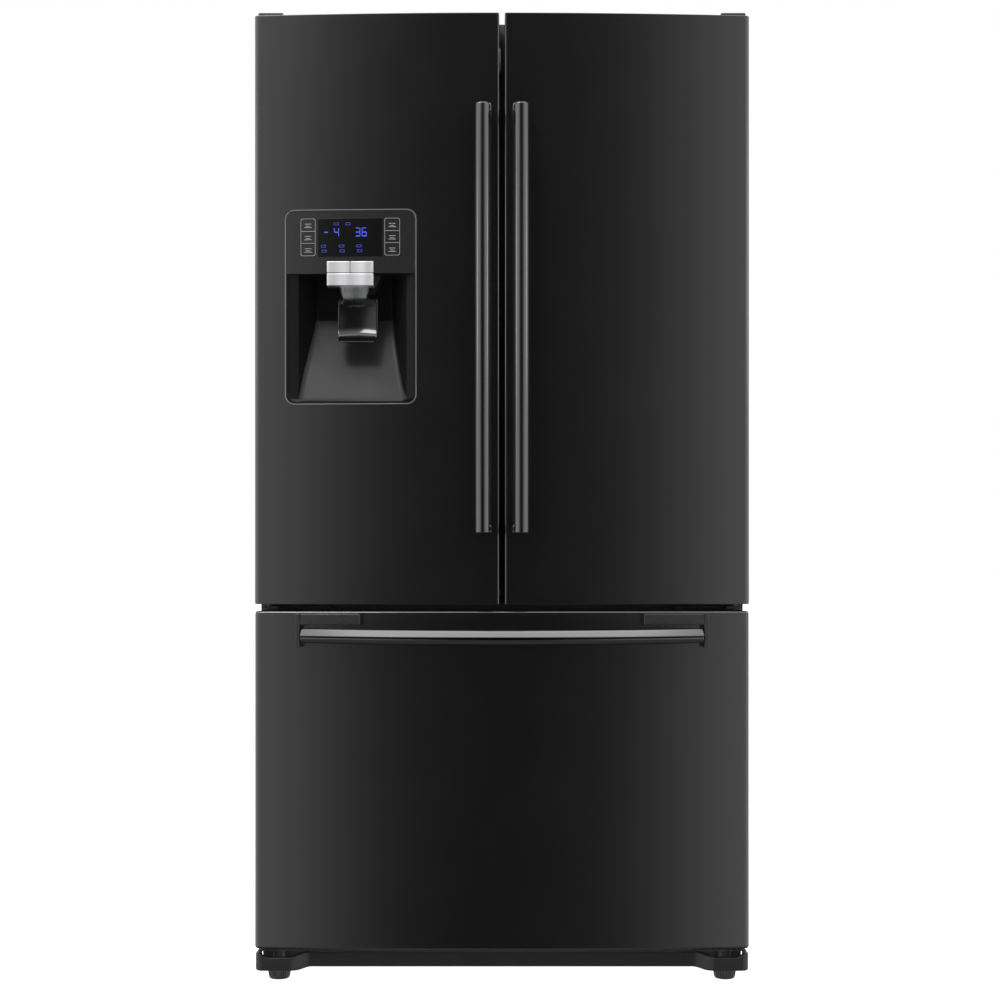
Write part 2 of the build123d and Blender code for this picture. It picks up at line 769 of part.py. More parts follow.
# Water inlet valve: a body with a solenoid and a quarter-inch tube stub pointing down
STUB_RADIUS = 3.175
STUB_BOTTOM = 84.0
with BuildPart() as water_valve:
    block(VALVE_X - 24, VALVE_X + 24, 418, 440, 104, 140)
    rod_y(VALVE_X, 396, 418, 122, 15)
    rod_z(VALVE_X, VALVE_Y, 98, 104, 8)
    rod_z(VALVE_X, VALVE_Y, STUB_BOTTOM, 98, STUB_RADIUS)
    block(VALVE_X + 24, VALVE_X + 46, 438, 440, 110, 134)
save(water_valve, "water_valve")

# ---------------------------------------------------------------- air ducts and coils

FRIDGE_DUCT_HALF = 150.0
DUCT_FRONT = 366.0
with BuildPart() as duct_covers:
    block(-FRIDGE_DUCT_HALF, FRIDGE_DUCT_HALF, DUCT_FRONT, FRIDGE_REAR, 900, 1708)
    fillet(duct_covers.edges().filter_by(Axis.Z).sort_by(Axis.Y)[:2], 8)
    for level in (1090, 1250, 1430, 1610):
        for side in (-1, 1):
            block(
                side * 60,
                side * 120,
                DUCT_FRONT - 1,
                DUCT_FRONT + 8,
                level,
                level + 14,
                mode=Mode.SUBTRACT,
            )
    block(-396, 396, 362, FREEZER_REAR, FREEZER_STEP_TOP + 4, FREEZER_CEILING - 4)
    for slot in range(9):
        slot_x = -320 + slot * 80
        block(slot_x - 30, slot_x + 30, 361, 370, 585, 597, mode=Mode.SUBTRACT)
save(duct_covers, "duct_covers")

# Crisper cover: a full-width frame over the crispers with a centre divider and side runners
CRISPER_TOP = 1000.0
CRISPER_BOTTOM = 877.0
PANTRY_TOP = 862.0
PANTRY_BOTTOM = 727.0
DRAWER_FACE = -80.0
DRAWER_REAR = 340.0
with BuildPart() as crisper_cover:
    block(-396, 396, -100, SHELF_REAR, CRISPER_COVER_Z - 7, CRISPER_COVER_Z + 7)
    block(-380, 380, -84, SHELF_REAR - 16, CRISPER_COVER_Z + 1, CRISPER_COVER_Z + 8, mode=Mode.SUBTRACT)
    block(-3, 3, -78, SHELF_REAR, 868, CRISPER_COVER_Z - 7)
    block(-396, 396, -78, SHELF_REAR, 867, 876)
save(crisper_cover, "crisper_cover")


def shelf_outline(side, half_inner, half_outer):
    """Left and right limits of a shelf on one side of the compartment."""
    return min(side * half_inner, side * half_outer), max(side * half_inner, side * half_outer)


# Glass panes of the shelves and the crisper cover
with BuildPart() as glass_shelves:
    for side, levels in ((-1, LEFT_SHELVES), (1, RIGHT_SHELVES)):
        left, right = shelf_outline(side, SHELF_INNER + FRAME_BORDER, SHELF_OUTER - FRAME_BORDER)
        for level in levels:
            block(
                left,
                right,
                SHELF_FRONT + FRAME_BORDER,
                SHELF_REAR - FRAME_BORDER,
                level,
                level + GLASS_THICKNESS,
            )
    block(
        -379.9,
        379.9,
        -83.9,
        SHELF_REAR - 16.1,
        CRISPER_COVER_Z + 1,
        CRISPER_COVER_Z + 1 + GLASS_THICKNESS,
    )
save(glass_shelves, "glass_shelves")

# Moulded frames that hold the panes, deeper at the front edge
with BuildPart() as shelf_frames:
    for side, levels in ((-1, LEFT_SHELVES), (1, RIGHT_SHELVES)):
        left, right = shelf_outline(side, SHELF_INNER, SHELF_OUTER)
        for level in levels:
            block(
                left,
                right,
                SHELF_FRONT,
                SHELF_REAR,
                level - FRAME_THICKNESS / 2,
                level + FRAME_THICKNESS / 2,
            )
            block(
                left + FRAME_BORDER - 0.1,
                right - FRAME_BORDER + 0.1,
                SHELF_FRONT + FRAME_BORDER - 0.1,
                SHELF_REAR - FRAME_BORDER + 0.1,
                level,
                level + FRAME_THICKNESS,
                mode=Mode.SUBTRACT,
            )
            block(
                left + 2 * FRAME_BORDER,
                right - 2 * FRAME_BORDER,
                SHELF_FRONT + 2 * FRAME_BORDER,
                SHELF_REAR - 2 * FRAME_BORDER,
                level - FRAME_THICKNESS,
                level + FRAME_THICKNESS,
                mode=Mode.SUBTRACT,
            )
save(shelf_frames, "shelf_frames")


def open_box(x0, x1, y0, y1, z0, z1, wall, corner):
    """An open-topped bin with rounded corners and an even wall."""
    with BuildPart() as bin_part:
        with BuildSketch(Plane.XY.offset(z0)):
            with Locations(((x0 + x1) / 2, (y0 + y1) / 2)):
                RectangleRounded(abs(x1 - x0), abs(y1 - y0), corner)
        extrude(amount=z1 - z0)
        fillet(bin_part.edges().group_by(Axis.Z)[0], corner * 0.6)
        offset(amount=-wall, openings=bin_part.faces().sort_by(Axis.Z)[-1])
    return bin_part.part


# Crispers and the wide pantry drawer: clear bins with a thicker handle lip at the front
def food_drawer(x0, x1, z0, z1, name):
    """A clear drawer with a pull lip along its front face."""
    body = open_box(x0, x1, DRAWER_FACE + 6, DRAWER_REAR, z0, z1, 2.5, 10)
    with BuildPart() as drawer:
        add(body)
        block(x0, x1, DRAWER_FACE, DRAWER_FACE + 7, z0 + 4, z1)
        block(x0 + 30, x1 - 30, DRAWER_FACE - 8, DRAWER_FACE, z1 - 16, z1 - 6)
    save(drawer, name)


food_drawer(-390, -6, CRISPER_BOTTOM, CRISPER_TOP, "crisper_left")
food_drawer(6, 390, CRISPER_BOTTOM, CRISPER_TOP, "crisper_right")
food_drawer(-388, 388, PANTRY_BOTTOM, PANTRY_TOP, "pantry_drawer")

# Ice maker: a hood in the upper left corner with the mould tray over the bucket
ICE_LEFT = -399.5
ICE_RIGHT = -205.0
ICE_BOTTOM = 1500.0
with BuildPart() as ice_maker:
    block(ICE_LEFT, ICE_RIGHT, -150, 362, ICE_BOTTOM, FRIDGE_CEILING - 0.5)
    block(ICE_LEFT + 5, ICE_RIGHT - 5, -151, 355, ICE_BOTTOM + 5, FRIDGE_CEILING - 8, mode=Mode.SUBTRACT)
    block(-370, -240, 90, 356, 1660, FRIDGE_CEILING - 7)
save(ice_maker, "ice_maker")

ice_bucket_body = open_box(-392, -212, -178, 330, ICE_BOTTOM + 6, 1640, 3, 12)
with BuildPart() as ice_bucket:
    add(ice_bucket_body)
    block(-398, -206, -188, -176, ICE_BOTTOM - 2, FRIDGE_CEILING - 10)
    fillet(ice_bucket.edges().filter_by(Axis.Y).group_by(Axis.Z)[-1], 5)
save(ice_bucket, "ice_bucket")

# Interior lamps: a flat diffuser under the ceiling and one on the freezer ceiling
with BuildPart() as interior_lamps:
    block(-90, 150, -120, 60, FRIDGE_CEILING - 9, FRIDGE_CEILING)
    fillet(interior_lamps.edges().filter_by(Axis.Z), 20)
    fillet(interior_lamps.edges().group_by(Axis.Z)[0], 4)
    block(-60, 60, -200, -150, FREEZER_CEILING - 7, FREEZER_CEILING)
save(interior_lamps, "interior_lamps")

# Evaporators: finned coils behind the duct covers, in pockets of the rear foam wall
with BuildPart() as evaporators:
    for half, y0, y1, z0, z1 in COILS:
        block(-half, half, y0, y1, z0, z0 + 4)
        block(-half, half, y0, y1, z1 - 4, z1)
        for side in (-1, 1):
            block(side * (half - 4), side * half, y0, y1, z0, z1)
        for row in range(5):
            level = z0 + (z1 - z0) * (row + 0.5) / 5
            rod_x(-half + 2, half - 2, (y0 + y1) / 2, level, 4)
        fins = int(half / 10)
        for fin in range(1, fins):
            fin_x = -half + 2 * half * fin / fins
            block(fin_x - 0.5, fin_x + 0.5, y0 + 2, y1 - 2, z0 + 2, z1 - 2)
save(evaporators, "evaporators")

# ---------------------------------------------------------------- doors

SIDES = ((-1, "left"), (1, "right"))
CAP_INSET = SKIN + 0.05
TAB_HEIGHT = 3.0
SKIRT_FRONT = -358.0


def door_panel(side):
    """The steel skin: front, both edges and nothing at the ends or the back."""
    outer = rounded_door_slab(side, DOOR_BOTTOM, DOOR_TOP, 0, OUTER_EDGE_RADIUS, GAP_EDGE_RADIUS)
    core = rounded_door_slab(
        side,
        DOOR_BOTTOM - 1,
        DOOR_TOP + 1,
        SKIN,
        OUTER_EDGE_RADIUS - SKIN,
        GAP_EDGE_RADIUS - SKIN,
    )
    with BuildPart() as panel:
        add(outer)
        fillet(panel.edges().group_by(Axis.Z)[-1].sort_by(Axis.Y)[:-3], 1.0)
        fillet(panel.edges().group_by(Axis.Z)[0].sort_by(Axis.Y)[:-3], 1.0)
        add(core, mode=Mode.SUBTRACT)
        for z0, z1 in (
            (DOOR_TOP - TAB_HEIGHT - 0.1, DOOR_TOP + 1),
            (DOOR_BOTTOM - 1, DOOR_BOTTOM + TAB_HEIGHT + 0.1),
        ):
            block(
                side * (HALF_WIDTH - 4),
                side * (HALF_WIDTH + 1),
                SKIRT_FRONT - 0.1,
                DOOR_BACK + 1,
                z0,
                z1,
                mode=Mode.SUBTRACT,
            )
        block(
            side * (DOOR_INNER_EDGE - 1),
            side * (HALF_WIDTH + 1),
            DOOR_BACK - 0.5,
            DOOR_BACK + 1,
            DOOR_BOTTOM - 1,
            DOOR_TOP + 1,
            mode=Mode.SUBTRACT,
        )
        if side < 0:
            add(
                face_prism(
                    BEZEL_LEFT - 0.3,
                    BEZEL_RIGHT + 0.3,
                    BEZEL_BOTTOM - 0.3,
                    BEZEL_TOP + 0.3,
                    BEZEL_RADIUS,
                ),
                mode=Mode.SUBTRACT,
            )
    return panel


def door_caps(side):
    """Plastic end caps with a skirt down the hinge side and a bore for the hinge pin."""
    with BuildPart() as caps:
        for end, outward in ((DOOR_TOP, 1), (DOOR_BOTTOM, -1)):
            cap_inner = end - outward * CAP_DEPTH
            add(
                rounded_door_slab(
                    side,
                    min(end, cap_inner),
                    max(end, cap_inner),
                    CAP_INSET,
                    OUTER_EDGE_RADIUS - CAP_INSET,
                    GAP_EDGE_RADIUS - CAP_INSET,
                )
            )
            block(
                side * (HALF_WIDTH - 3),
                side * (HALF_WIDTH + CAP_PROUD),
                SKIRT_FRONT,
                DOOR_BACK,
                end,
                end - outward * TAB_HEIGHT,
            )
            block(
                side * (HALF_WIDTH + 0.03),
                side * (HALF_WIDTH + CAP_PROUD),
                SKIRT_FRONT,
                DOOR_BACK,
                end,
                end - outward * CAP_SKIRT,
            )
            rod_z(
                side * HINGE_X,
                HINGE_Y,
                end + outward,
                end - outward * 14,
                PIN_RADIUS + RUNNING_CLEARANCE,
                mode=Mode.SUBTRACT,
            )
    return caps


def door_liner(side):
    """The white inner liner and its foam core, with a raised dyke round the bin space."""
    body = rounded_door_slab(
        side,
        DOOR_BOTTOM + CAP_DEPTH + 0.1,
        DOOR_TOP - CAP_DEPTH - 0.1,
        CAP_INSET,
        OUTER_EDGE_RADIUS - CAP_INSET,
        GAP_EDGE_RADIUS - CAP_INSET,
    )
    with BuildPart() as dyke:
        block(side * DYKE_INNER, side * DYKE_OUTER, DOOR_BACK, DYKE_BACK, DYKE_BOTTOM, DYKE_TOP)
        fillet(dyke.edges().filter_by(Axis.Y), 24)
        fillet(dyke.edges().group_by(Axis.Y)[-1], 8)
    with BuildPart() as hollow:
        block(
            side * (DYKE_INNER + DYKE_WALL),
            side * (DYKE_OUTER - DYKE_WALL),
            LINER_FACE_BACK,
            DYKE_BACK + 5,
            DYKE_BOTTOM + DYKE_WALL,
            DYKE_TOP - DYKE_WALL,
        )
        fillet(hollow.edges().filter_by(Axis.Y), 14)
    with BuildPart() as bulge:
        block(BEZEL_LEFT + 30, BEZEL_RIGHT + 12, DOOR_BACK, -262, BEZEL_BOTTOM - 14, BEZEL_TOP + 12)
        fillet(bulge.edges().group_by(Axis.Y)[-1], 10)
    with BuildPart() as liner:
        add(body)
        add(dyke.part)
        add(hollow.part, mode=Mode.SUBTRACT)
        if side < 0:
            add(bulge.part)
            add(
                face_prism(
                    BEZEL_LEFT - 2,
                    BEZEL_RIGHT + 2,
                    BEZEL_BOTTOM - 2,
                    BEZEL_TOP + 2,
                    BEZEL_RADIUS + 2,
                    y_back=-287.0,
                ),
                mode=Mode.SUBTRACT,
            )
            for z0 in FLIPPER_KNUCKLES:
                for lug in (z0 - LUG_GAP - LUG_HEIGHT, z0 + KNUCKLE_HEIGHT + LUG_GAP):
                    block(
                        -DYKE_INNER - 2,
                        FLIPPER_AXIS_X,
                        FLIPPER_AXIS_Y - LUG_RADIUS,
                        FLIPPER_AXIS_Y + LUG_RADIUS,
                        lug,
                        lug + LUG_HEIGHT,
                    )
                    rod_z(FLIPPER_AXIS_X, FLIPPER_AXIS_Y, lug, lug + LUG_HEIGHT, LUG_RADIUS)
                    rod_z(
                        FLIPPER_AXIS_X,
                        FLIPPER_AXIS_Y,
                        lug - 1,
                        lug + LUG_HEIGHT + 1,
                        FLIPPER_PIN_RADIUS + RUNNING_CLEARANCE,
                        mode=Mode.SUBTRACT,
                    )
    return liner


def door_gasket(side):
    """A hollow-section seal round the back of the door."""
    with BuildPart() as gasket:
        with BuildSketch(Plane.XZ.offset(-GASKET_FRONT)):
            with Locations((side * (428 + 8) / 2, (702 + 1744) / 2)):
                RectangleRounded(420, 1744 - 702, 6)
                RectangleRounded(
                    420 - 2 * GASKET_WIDTH,
                    1744 - 702 - 2 * GASKET_WIDTH,
                    4,
                    mode=Mode.SUBTRACT,
                )
        extrude(amount=-(GASKET_BACK - GASKET_FRONT))
        fillet(gasket.edges().group_by(Axis.Y)[-1], 2.5)
    return gasket


def door_handle(side):
    """A bowed bar with a post at each end, in one piece."""
    bar_half = HANDLE_DEPTH / 2
    middle_y = HANDLE_FRONT + bar_half
    end_y = middle_y + HANDLE_BOW
    middle_z = (HANDLE_BOTTOM + HANDLE_TOP) / 2
    with BuildPart() as handle:
        with BuildLine() as path:
            ThreePointArc(
                (side * HANDLE_X, end_y, HANDLE_BOTTOM),
                (side * HANDLE_X, middle_y, middle_z),
                (side * HANDLE_X, end_y, HANDLE_TOP),
            )
        with BuildSketch(Plane(path.line @ 0, x_dir=(1, 0, 0), z_dir=path.line % 0)):
            RectangleRounded(HANDLE_WIDTH, HANDLE_DEPTH, 7)
        sweep()
        for z0 in (HANDLE_BOTTOM, HANDLE_TOP - POST_HEIGHT):
            with BuildSketch(Plane.XY.offset(z0)):
                with BuildLine():
                    outward = side * (HANDLE_X + HANDLE_WIDTH / 2 - 1)
                    inward = side * (HANDLE_X - HANDLE_WIDTH / 2 - POST_EXTRA)
                    Polyline(
                        (outward, front_y(outward) - 0.05),
                        (outward, end_y),
                        (inward, end_y),
                        (inward, front_y(inward) - 0.05),
                        close=True,
                    )
                make_face()
            extrude(amount=POST_HEIGHT)
    return handle


for side, word in SIDES:
    save(door_panel(side), f"{word}_door_panel")
    save(door_caps(side), f"{word}_door_caps")
    save(door_liner(side), f"{word}_door_liner")
    save(door_gasket(side), f"{word}_door_gasket")
    save(door_handle(side), f"{word}_door_handle")


def door_bins(side, levels, name):
    """Open bins that hang between the side walls of the door's dyke."""
    left, right = shelf_outline(side, DYKE_INNER + DYKE_WALL + 0.5, DYKE_OUTER - DYKE_WALL - 0.5)
    bins = [
        open_box(
            left,
            right,
            LINER_FACE_BACK + 0.3,
            LINER_FACE_BACK + BIN_DEPTH,
            z,
            z + BIN_HEIGHTS[z],
            BIN_WALL,
            12,
        )
        for z in levels
    ]
    with BuildPart() as rack:
        for item in bins:
            add(item)
    save(rack, name)


door_bins(-1, LEFT_BINS, "left_door_bins")
door_bins(1, RIGHT_BINS, "right_door_bins")

# Flipper mullion: a heated strip on the left door that closes behind the door gap
with BuildPart() as flipper_mullion:
    block(-34, -2.5, -282.5, -264, 740, 1700)
    fillet(flipper_mullion.edges().filter_by(Axis.Z), 2)
    for z0 in FLIPPER_KNUCKLES:
        rod_z(FLIPPER_AXIS_X, FLIPPER_AXIS_Y, z0, z0 + KNUCKLE_HEIGHT, 4.5)
        block(-38, -33, -274, -266, z0, z0 + KNUCKLE_HEIGHT)
        rod_z(FLIPPER_AXIS_X, FLIPPER_AXIS_Y, z0 - 6, z0 + KNUCKLE_HEIGHT + 6, FLIPPER_PIN_RADIUS)
save(flipper_mullion, "flipper_mullion")

# ---------------------------------------------------------------- dispenser

# Bezel: a ring round the whole recess with the control fascia as its upper part
RECESS_RADIUS = BEZEL_RADIUS - BEZEL_RING
bezel_band = curved_slab(
    BEZEL_LEFT - 5,
    BEZEL_RIGHT + 5,
    1050,
    1430,
    -BEZEL_PROUD,
    front_to=FASCIA_THICKNESS,
)
bezel_outline = face_prism(BEZEL_LEFT, BEZEL_RIGHT, BEZEL_BOTTOM, BEZEL_TOP, BEZEL_RADIUS)
ring_hole = face_prism(
    BEZEL_LEFT + BEZEL_RING,
    BEZEL_RIGHT - BEZEL_RING,
    BEZEL_BOTTOM + BEZEL_RING,
    BEZEL_TOP - BEZEL_RING,
    RECESS_RADIUS,
)
fascia_band = curved_slab(
    BEZEL_LEFT - 5,
    BEZEL_RIGHT + 5,
    FASCIA_BOTTOM,
    1430,
    0.4,
    front_to=FASCIA_THICKNESS,
)
fascia_inside = face_prism(
    BEZEL_LEFT + 0.5,
    BEZEL_RIGHT - 0.5,
    BEZEL_BOTTOM + 0.5,
    BEZEL_TOP - 0.5,
    BEZEL_RADIUS - 0.5,
)
with BuildPart() as fascia_plate:
    add(fascia_band)
    add(fascia_inside, mode=Mode.INTERSECT)
display_pocket = curved_slab(
    DISPLAY_LEFT,
    DISPLAY_RIGHT,
    DISPLAY_BOTTOM,
    DISPLAY_TOP,
    -2,
    front_to=0.4 + DISPLAY_THICKNESS,
)
with BuildPart() as dispenser_bezel:
    add(bezel_band)
    add(bezel_outline, mode=Mode.INTERSECT)
    add(ring_hole, mode=Mode.SUBTRACT)
    add(fascia_plate.part)
    add(display_pocket, mode=Mode.SUBTRACT)
    block(
        NOZZLE_X - NOZZLE_HALF - 1,
        NOZZLE_X + NOZZLE_HALF + 1,
        -400,
        -360,
        FASCIA_BOTTOM - 2,
        BUTTON_TOP + 1,
        mode=Mode.SUBTRACT,
    )
save(dispenser_bezel, "dispenser_bezel")

# Display: a flush glass pane in the fascia
display_pane = curved_slab(
    DISPLAY_LEFT + 0.1,
    DISPLAY_RIGHT - 0.1,
    DISPLAY_BOTTOM + 0.1,
    DISPLAY_TOP - 0.1,
    0.3,
    front_to=0.4 + DISPLAY_THICKNESS - 0.05,
)
with BuildPart() as dispenser_display:
    add(display_pane)
save(dispenser_display, "dispenser_display")

# Housing: the moulded recess, wide at the front and narrower behind, with a ramp for its floor
HOUSING_BACK = -288.0
HOUSING_WALL = 2.5
RAMP_TOP = 1240.0
HOUSING_FRONT = FASCIA_THICKNESS + 0.1
recess_mouth_plane = Plane.XZ.offset(390)
recess_back_plane = Plane.XZ.offset(-HOUSING_BACK - HOUSING_WALL)
with BuildPart() as recess:
    with BuildSketch(recess_mouth_plane):
        with Locations(((BEZEL_LEFT + BEZEL_RIGHT) / 2, (BEZEL_BOTTOM + FASCIA_BOTTOM) / 2)):
            RectangleRounded(
                BEZEL_RIGHT - BEZEL_LEFT - 7,
                FASCIA_BOTTOM - BEZEL_BOTTOM - 7,
                RECESS_RADIUS,
            )
    with BuildSketch(recess_back_plane):
        with Locations((-276, (RAMP_TOP + FASCIA_BOTTOM - 3.5) / 2)):
            RectangleRounded(138, FASCIA_BOTTOM - 3.5 - RAMP_TOP, 4)
    loft()
with BuildPart() as recess_shell:
    with BuildSketch(recess_mouth_plane):
        with Locations(((BEZEL_LEFT + BEZEL_RIGHT) / 2, (BEZEL_BOTTOM + FASCIA_BOTTOM) / 2)):
            RectangleRounded(
                BEZEL_RIGHT - BEZEL_LEFT - 1,
                FASCIA_BOTTOM - BEZEL_BOTTOM - 1,
                RECESS_RADIUS + 3,
            )
    with BuildSketch(Plane.XZ.offset(-HOUSING_BACK)):
        with Locations((-276, (RAMP_TOP + FASCIA_BOTTOM - 3.5) / 2)):
            RectangleRounded(138 + 6, FASCIA_BOTTOM + 2.5 - RAMP_TOP, 6)
    loft()
front_cut = curved_slab(BEZEL_LEFT - 5, BEZEL_RIGHT + 5, 1050, 1320, -40, front_to=HOUSING_FRONT)
with BuildPart() as dispenser_housing:
    add(recess_shell.part)
    add(recess.part, mode=Mode.SUBTRACT)
    add(front_cut, mode=Mode.SUBTRACT)
    block(
        NOZZLE_X - NOZZLE_HALF - 2,
        NOZZLE_X + NOZZLE_HALF + 2,
        -395,
        -362,
        FASCIA_BOTTOM - 6,
        FASCIA_BOTTOM + 3,
        mode=Mode.SUBTRACT,
    )
    for side in (-1, 1):
        block(
            PADDLE_X + side * (PADDLE_HALF + 1),
            PADDLE_X + side * (PADDLE_HALF + 5),
            PADDLE_AXIS_Y - 8,
            PADDLE_AXIS_Y + 8,
            PADDLE_AXIS_Z - 9,
            FASCIA_BOTTOM - 2,
        )
        rod_x(
            PADDLE_X + side * (PADDLE_HALF - 4),
            PADDLE_X + side * (PADDLE_HALF + 5),
            PADDLE_AXIS_Y,
            PADDLE_AXIS_Z,
            2.5,
        )
save(dispenser_housing, "dispenser_housing")

# Nozzle: a brushed block under the buttons and the clear chute cone below it
CHUTE_TOP_RADIUS = 31.0
CHUTE_TIP_RADIUS = 26.0
CHUTE_WALL = 2.5
with BuildPart() as dispenser_nozzle:
    block(
        NOZZLE_X - NOZZLE_HALF,
        NOZZLE_X + NOZZLE_HALF,
        NOZZLE_FRONT,
        NOZZLE_FRONT + 22,
        NOZZLE_BOTTOM,
        NOZZLE_TOP,
    )
    fillet(dispenser_nozzle.edges().filter_by(Axis.Z), 3)
    block(NOZZLE_X - 24, NOZZLE_X + 24, NOZZLE_FRONT + 20, -330, NOZZLE_BOTTOM + 6, FASCIA_BOTTOM - 4)
    with BuildSketch(Plane.XY.offset(CHUTE_BOTTOM)):
        with Locations((CHUTE_X, CHUTE_Y)):
            Ellipse(CHUTE_TIP_RADIUS, 14)
    with BuildSketch(Plane.XY.offset(NOZZLE_BOTTOM)):
        with Locations((CHUTE_X, CHUTE_Y)):
            Ellipse(CHUTE_TOP_RADIUS, 18)
    loft()
    with BuildSketch(Plane.XY.offset(CHUTE_BOTTOM - 0.1)):
        with Locations((CHUTE_X, CHUTE_Y)):
            Ellipse(CHUTE_TIP_RADIUS - CHUTE_WALL, 14 - CHUTE_WALL)
    extrude(amount=12, mode=Mode.SUBTRACT)
save(dispenser_nozzle, "dispenser_nozzle")


def metal_button(x0, x1, name):
    """A rectangular push button with softened edges."""
    with BuildPart() as button:
        block(x0, x1, NOZZLE_FRONT, NOZZLE_FRONT + BUTTON_DEPTH, NOZZLE_TOP + 0.6, BUTTON_TOP)
        fillet(button.edges().group_by(Axis.Y)[0], 1.2)
    save(button, name)


metal_button(NOZZLE_X - NOZZLE_HALF, NOZZLE_X - 0.5, "water_button")
metal_button(NOZZLE_X + 0.5, NOZZLE_X + NOZZLE_HALF, "ice_button")

# Paddle: a curved plate hanging from a cross tube, with its lower edge turned forward
with BuildPart() as dispenser_paddle:
    with BuildSketch(Plane.YZ.offset(PADDLE_X - PADDLE_HALF)):
        with BuildLine():
            Polyline(
                (PADDLE_AXIS_Y - 4, PADDLE_AXIS_Z),
                (-349, 1225),
                (-352, 1196),
                (-360, 1180),
                (-372, PADDLE_BOTTOM),
                (-372, PADDLE_BOTTOM + 4),
                (-363, 1185),
                (-356.5, 1198),
                (-353, 1226),
                (PADDLE_AXIS_Y - 9, PADDLE_AXIS_Z),
                close=True,
            )
        make_face()
    extrude(amount=2 * PADDLE_HALF)
    rod_x(PADDLE_X - PADDLE_HALF, PADDLE_X + PADDLE_HALF, PADDLE_AXIS_Y, PADDLE_AXIS_Z, 6)
    block(
        PADDLE_X - PADDLE_HALF,
        PADDLE_X + PADDLE_HALF,
        PADDLE_AXIS_Y - 9,
        PADDLE_AXIS_Y,
        PADDLE_AXIS_Z - 5,
        PADDLE_AXIS_Z + 1,
    )
    rod_x(
        PADDLE_X - PADDLE_HALF - 1,
        PADDLE_X + PADDLE_HALF + 1,
        PADDLE_AXIS_Y,
        PADDLE_AXIS_Z,
        2.5 + RUNNING_CLEARANCE,
        mode=Mode.SUBTRACT,
    )
save(dispenser_paddle, "dispenser_paddle")

# ---------------------------------------------------------------- freezer drawer


def rounded_drawer_slab(z0, z1, inset, corner_radius, edge_radius):
    """The drawer front's block with rounded vertical corners and softened top and bottom edges."""
    blank = curved_slab(-HALF_WIDTH + inset, HALF_WIDTH - inset, z0 + inset, z1 - inset, inset)
    with BuildPart() as slab:
        add(blank)
        fillet(slab.edges().filter_by(Axis.Z).sort_by(Axis.Y)[:2], corner_radius)
        fillet(slab.edges().group_by(Axis.Z)[-1].sort_by(Axis.Y)[:-3], edge_radius)
        fillet(slab.edges().group_by(Axis.Z)[0].sort_by(Axis.Y)[:-3], edge_radius)
    return slab.part


drawer_outer = rounded_drawer_slab(DRAWER_BOTTOM, DRAWER_TOP, 0, OUTER_EDGE_RADIUS, DRAWER_EDGE_RADIUS)
drawer_inner = rounded_drawer_slab(
    DRAWER_BOTTOM,
    DRAWER_TOP,
    SKIN,
    OUTER_EDGE_RADIUS - SKIN,
    DRAWER_EDGE_RADIUS - SKIN,
)
with BuildPart() as drawer_panel:
    add(drawer_outer)
    add(drawer_inner, mode=Mode.SUBTRACT)
    block(-460, 460, DOOR_BACK - 0.5, DOOR_BACK + 1, 0, 700, mode=Mode.SUBTRACT)
save(drawer_panel, "drawer_panel")

# Drawer liner and foam core, with a shallow raised pan inside the seal
drawer_core = rounded_drawer_slab(
    DRAWER_BOTTOM,
    DRAWER_TOP,
    CAP_INSET,
    OUTER_EDGE_RADIUS - CAP_INSET,
    DRAWER_EDGE_RADIUS - CAP_INSET,
)
with BuildPart() as drawer_liner:
    add(drawer_core)
    block(-390, 390, DOOR_BACK, -279, 110, 636)
    fillet(drawer_liner.edges().group_by(Axis.Y)[-1], 4)
save(drawer_liner, "drawer_liner")

with BuildPart() as drawer_gasket:
    with BuildSketch(Plane.XZ.offset(-GASKET_FRONT)):
        with Locations((0, (80 + 678) / 2)):
            RectangleRounded(856, 678 - 80, 6)
            RectangleRounded(856 - 2 * GASKET_WIDTH, 678 - 80 - 2 * GASKET_WIDTH, 4, mode=Mode.SUBTRACT)
    extrude(amount=-(GASKET_BACK - GASKET_FRONT))
    fillet(drawer_gasket.edges().group_by(Axis.Y)[-1], 2.5)
save(drawer_gasket, "drawer_gasket")

# End brackets of the drawer handle: an outer cheek with the lever pin and a hood over the bar
with BuildPart() as handle_brackets:
    for side in (-1, 1):
        hood = curved_slab(
            side * BRACKET_INNER,
            side * BRACKET_OUTER,
            HOOD_BOTTOM,
            DRAWER_TOP - DRAWER_EDGE_RADIUS,
            -26,
            front_to=-0.1,
        )
        cheek = curved_slab(
            side * (BRACKET_OUTER - BRACKET_WALL),
            side * BRACKET_OUTER,
            BRACKET_BOTTOM,
            DRAWER_TOP - DRAWER_EDGE_RADIUS,
            -30,
            front_to=-0.1,
        )
        add(hood)
        add(cheek)
        rod_x(
            side * (BRACKET_OUTER - BRACKET_WALL),
            side * (DRAWER_HANDLE_HALF - 12),
            DRAWER_HANDLE_END_Y,
            DRAWER_HANDLE_Z,
            LEVER_PIN_RADIUS,
        )
save(handle_brackets, "handle_brackets")

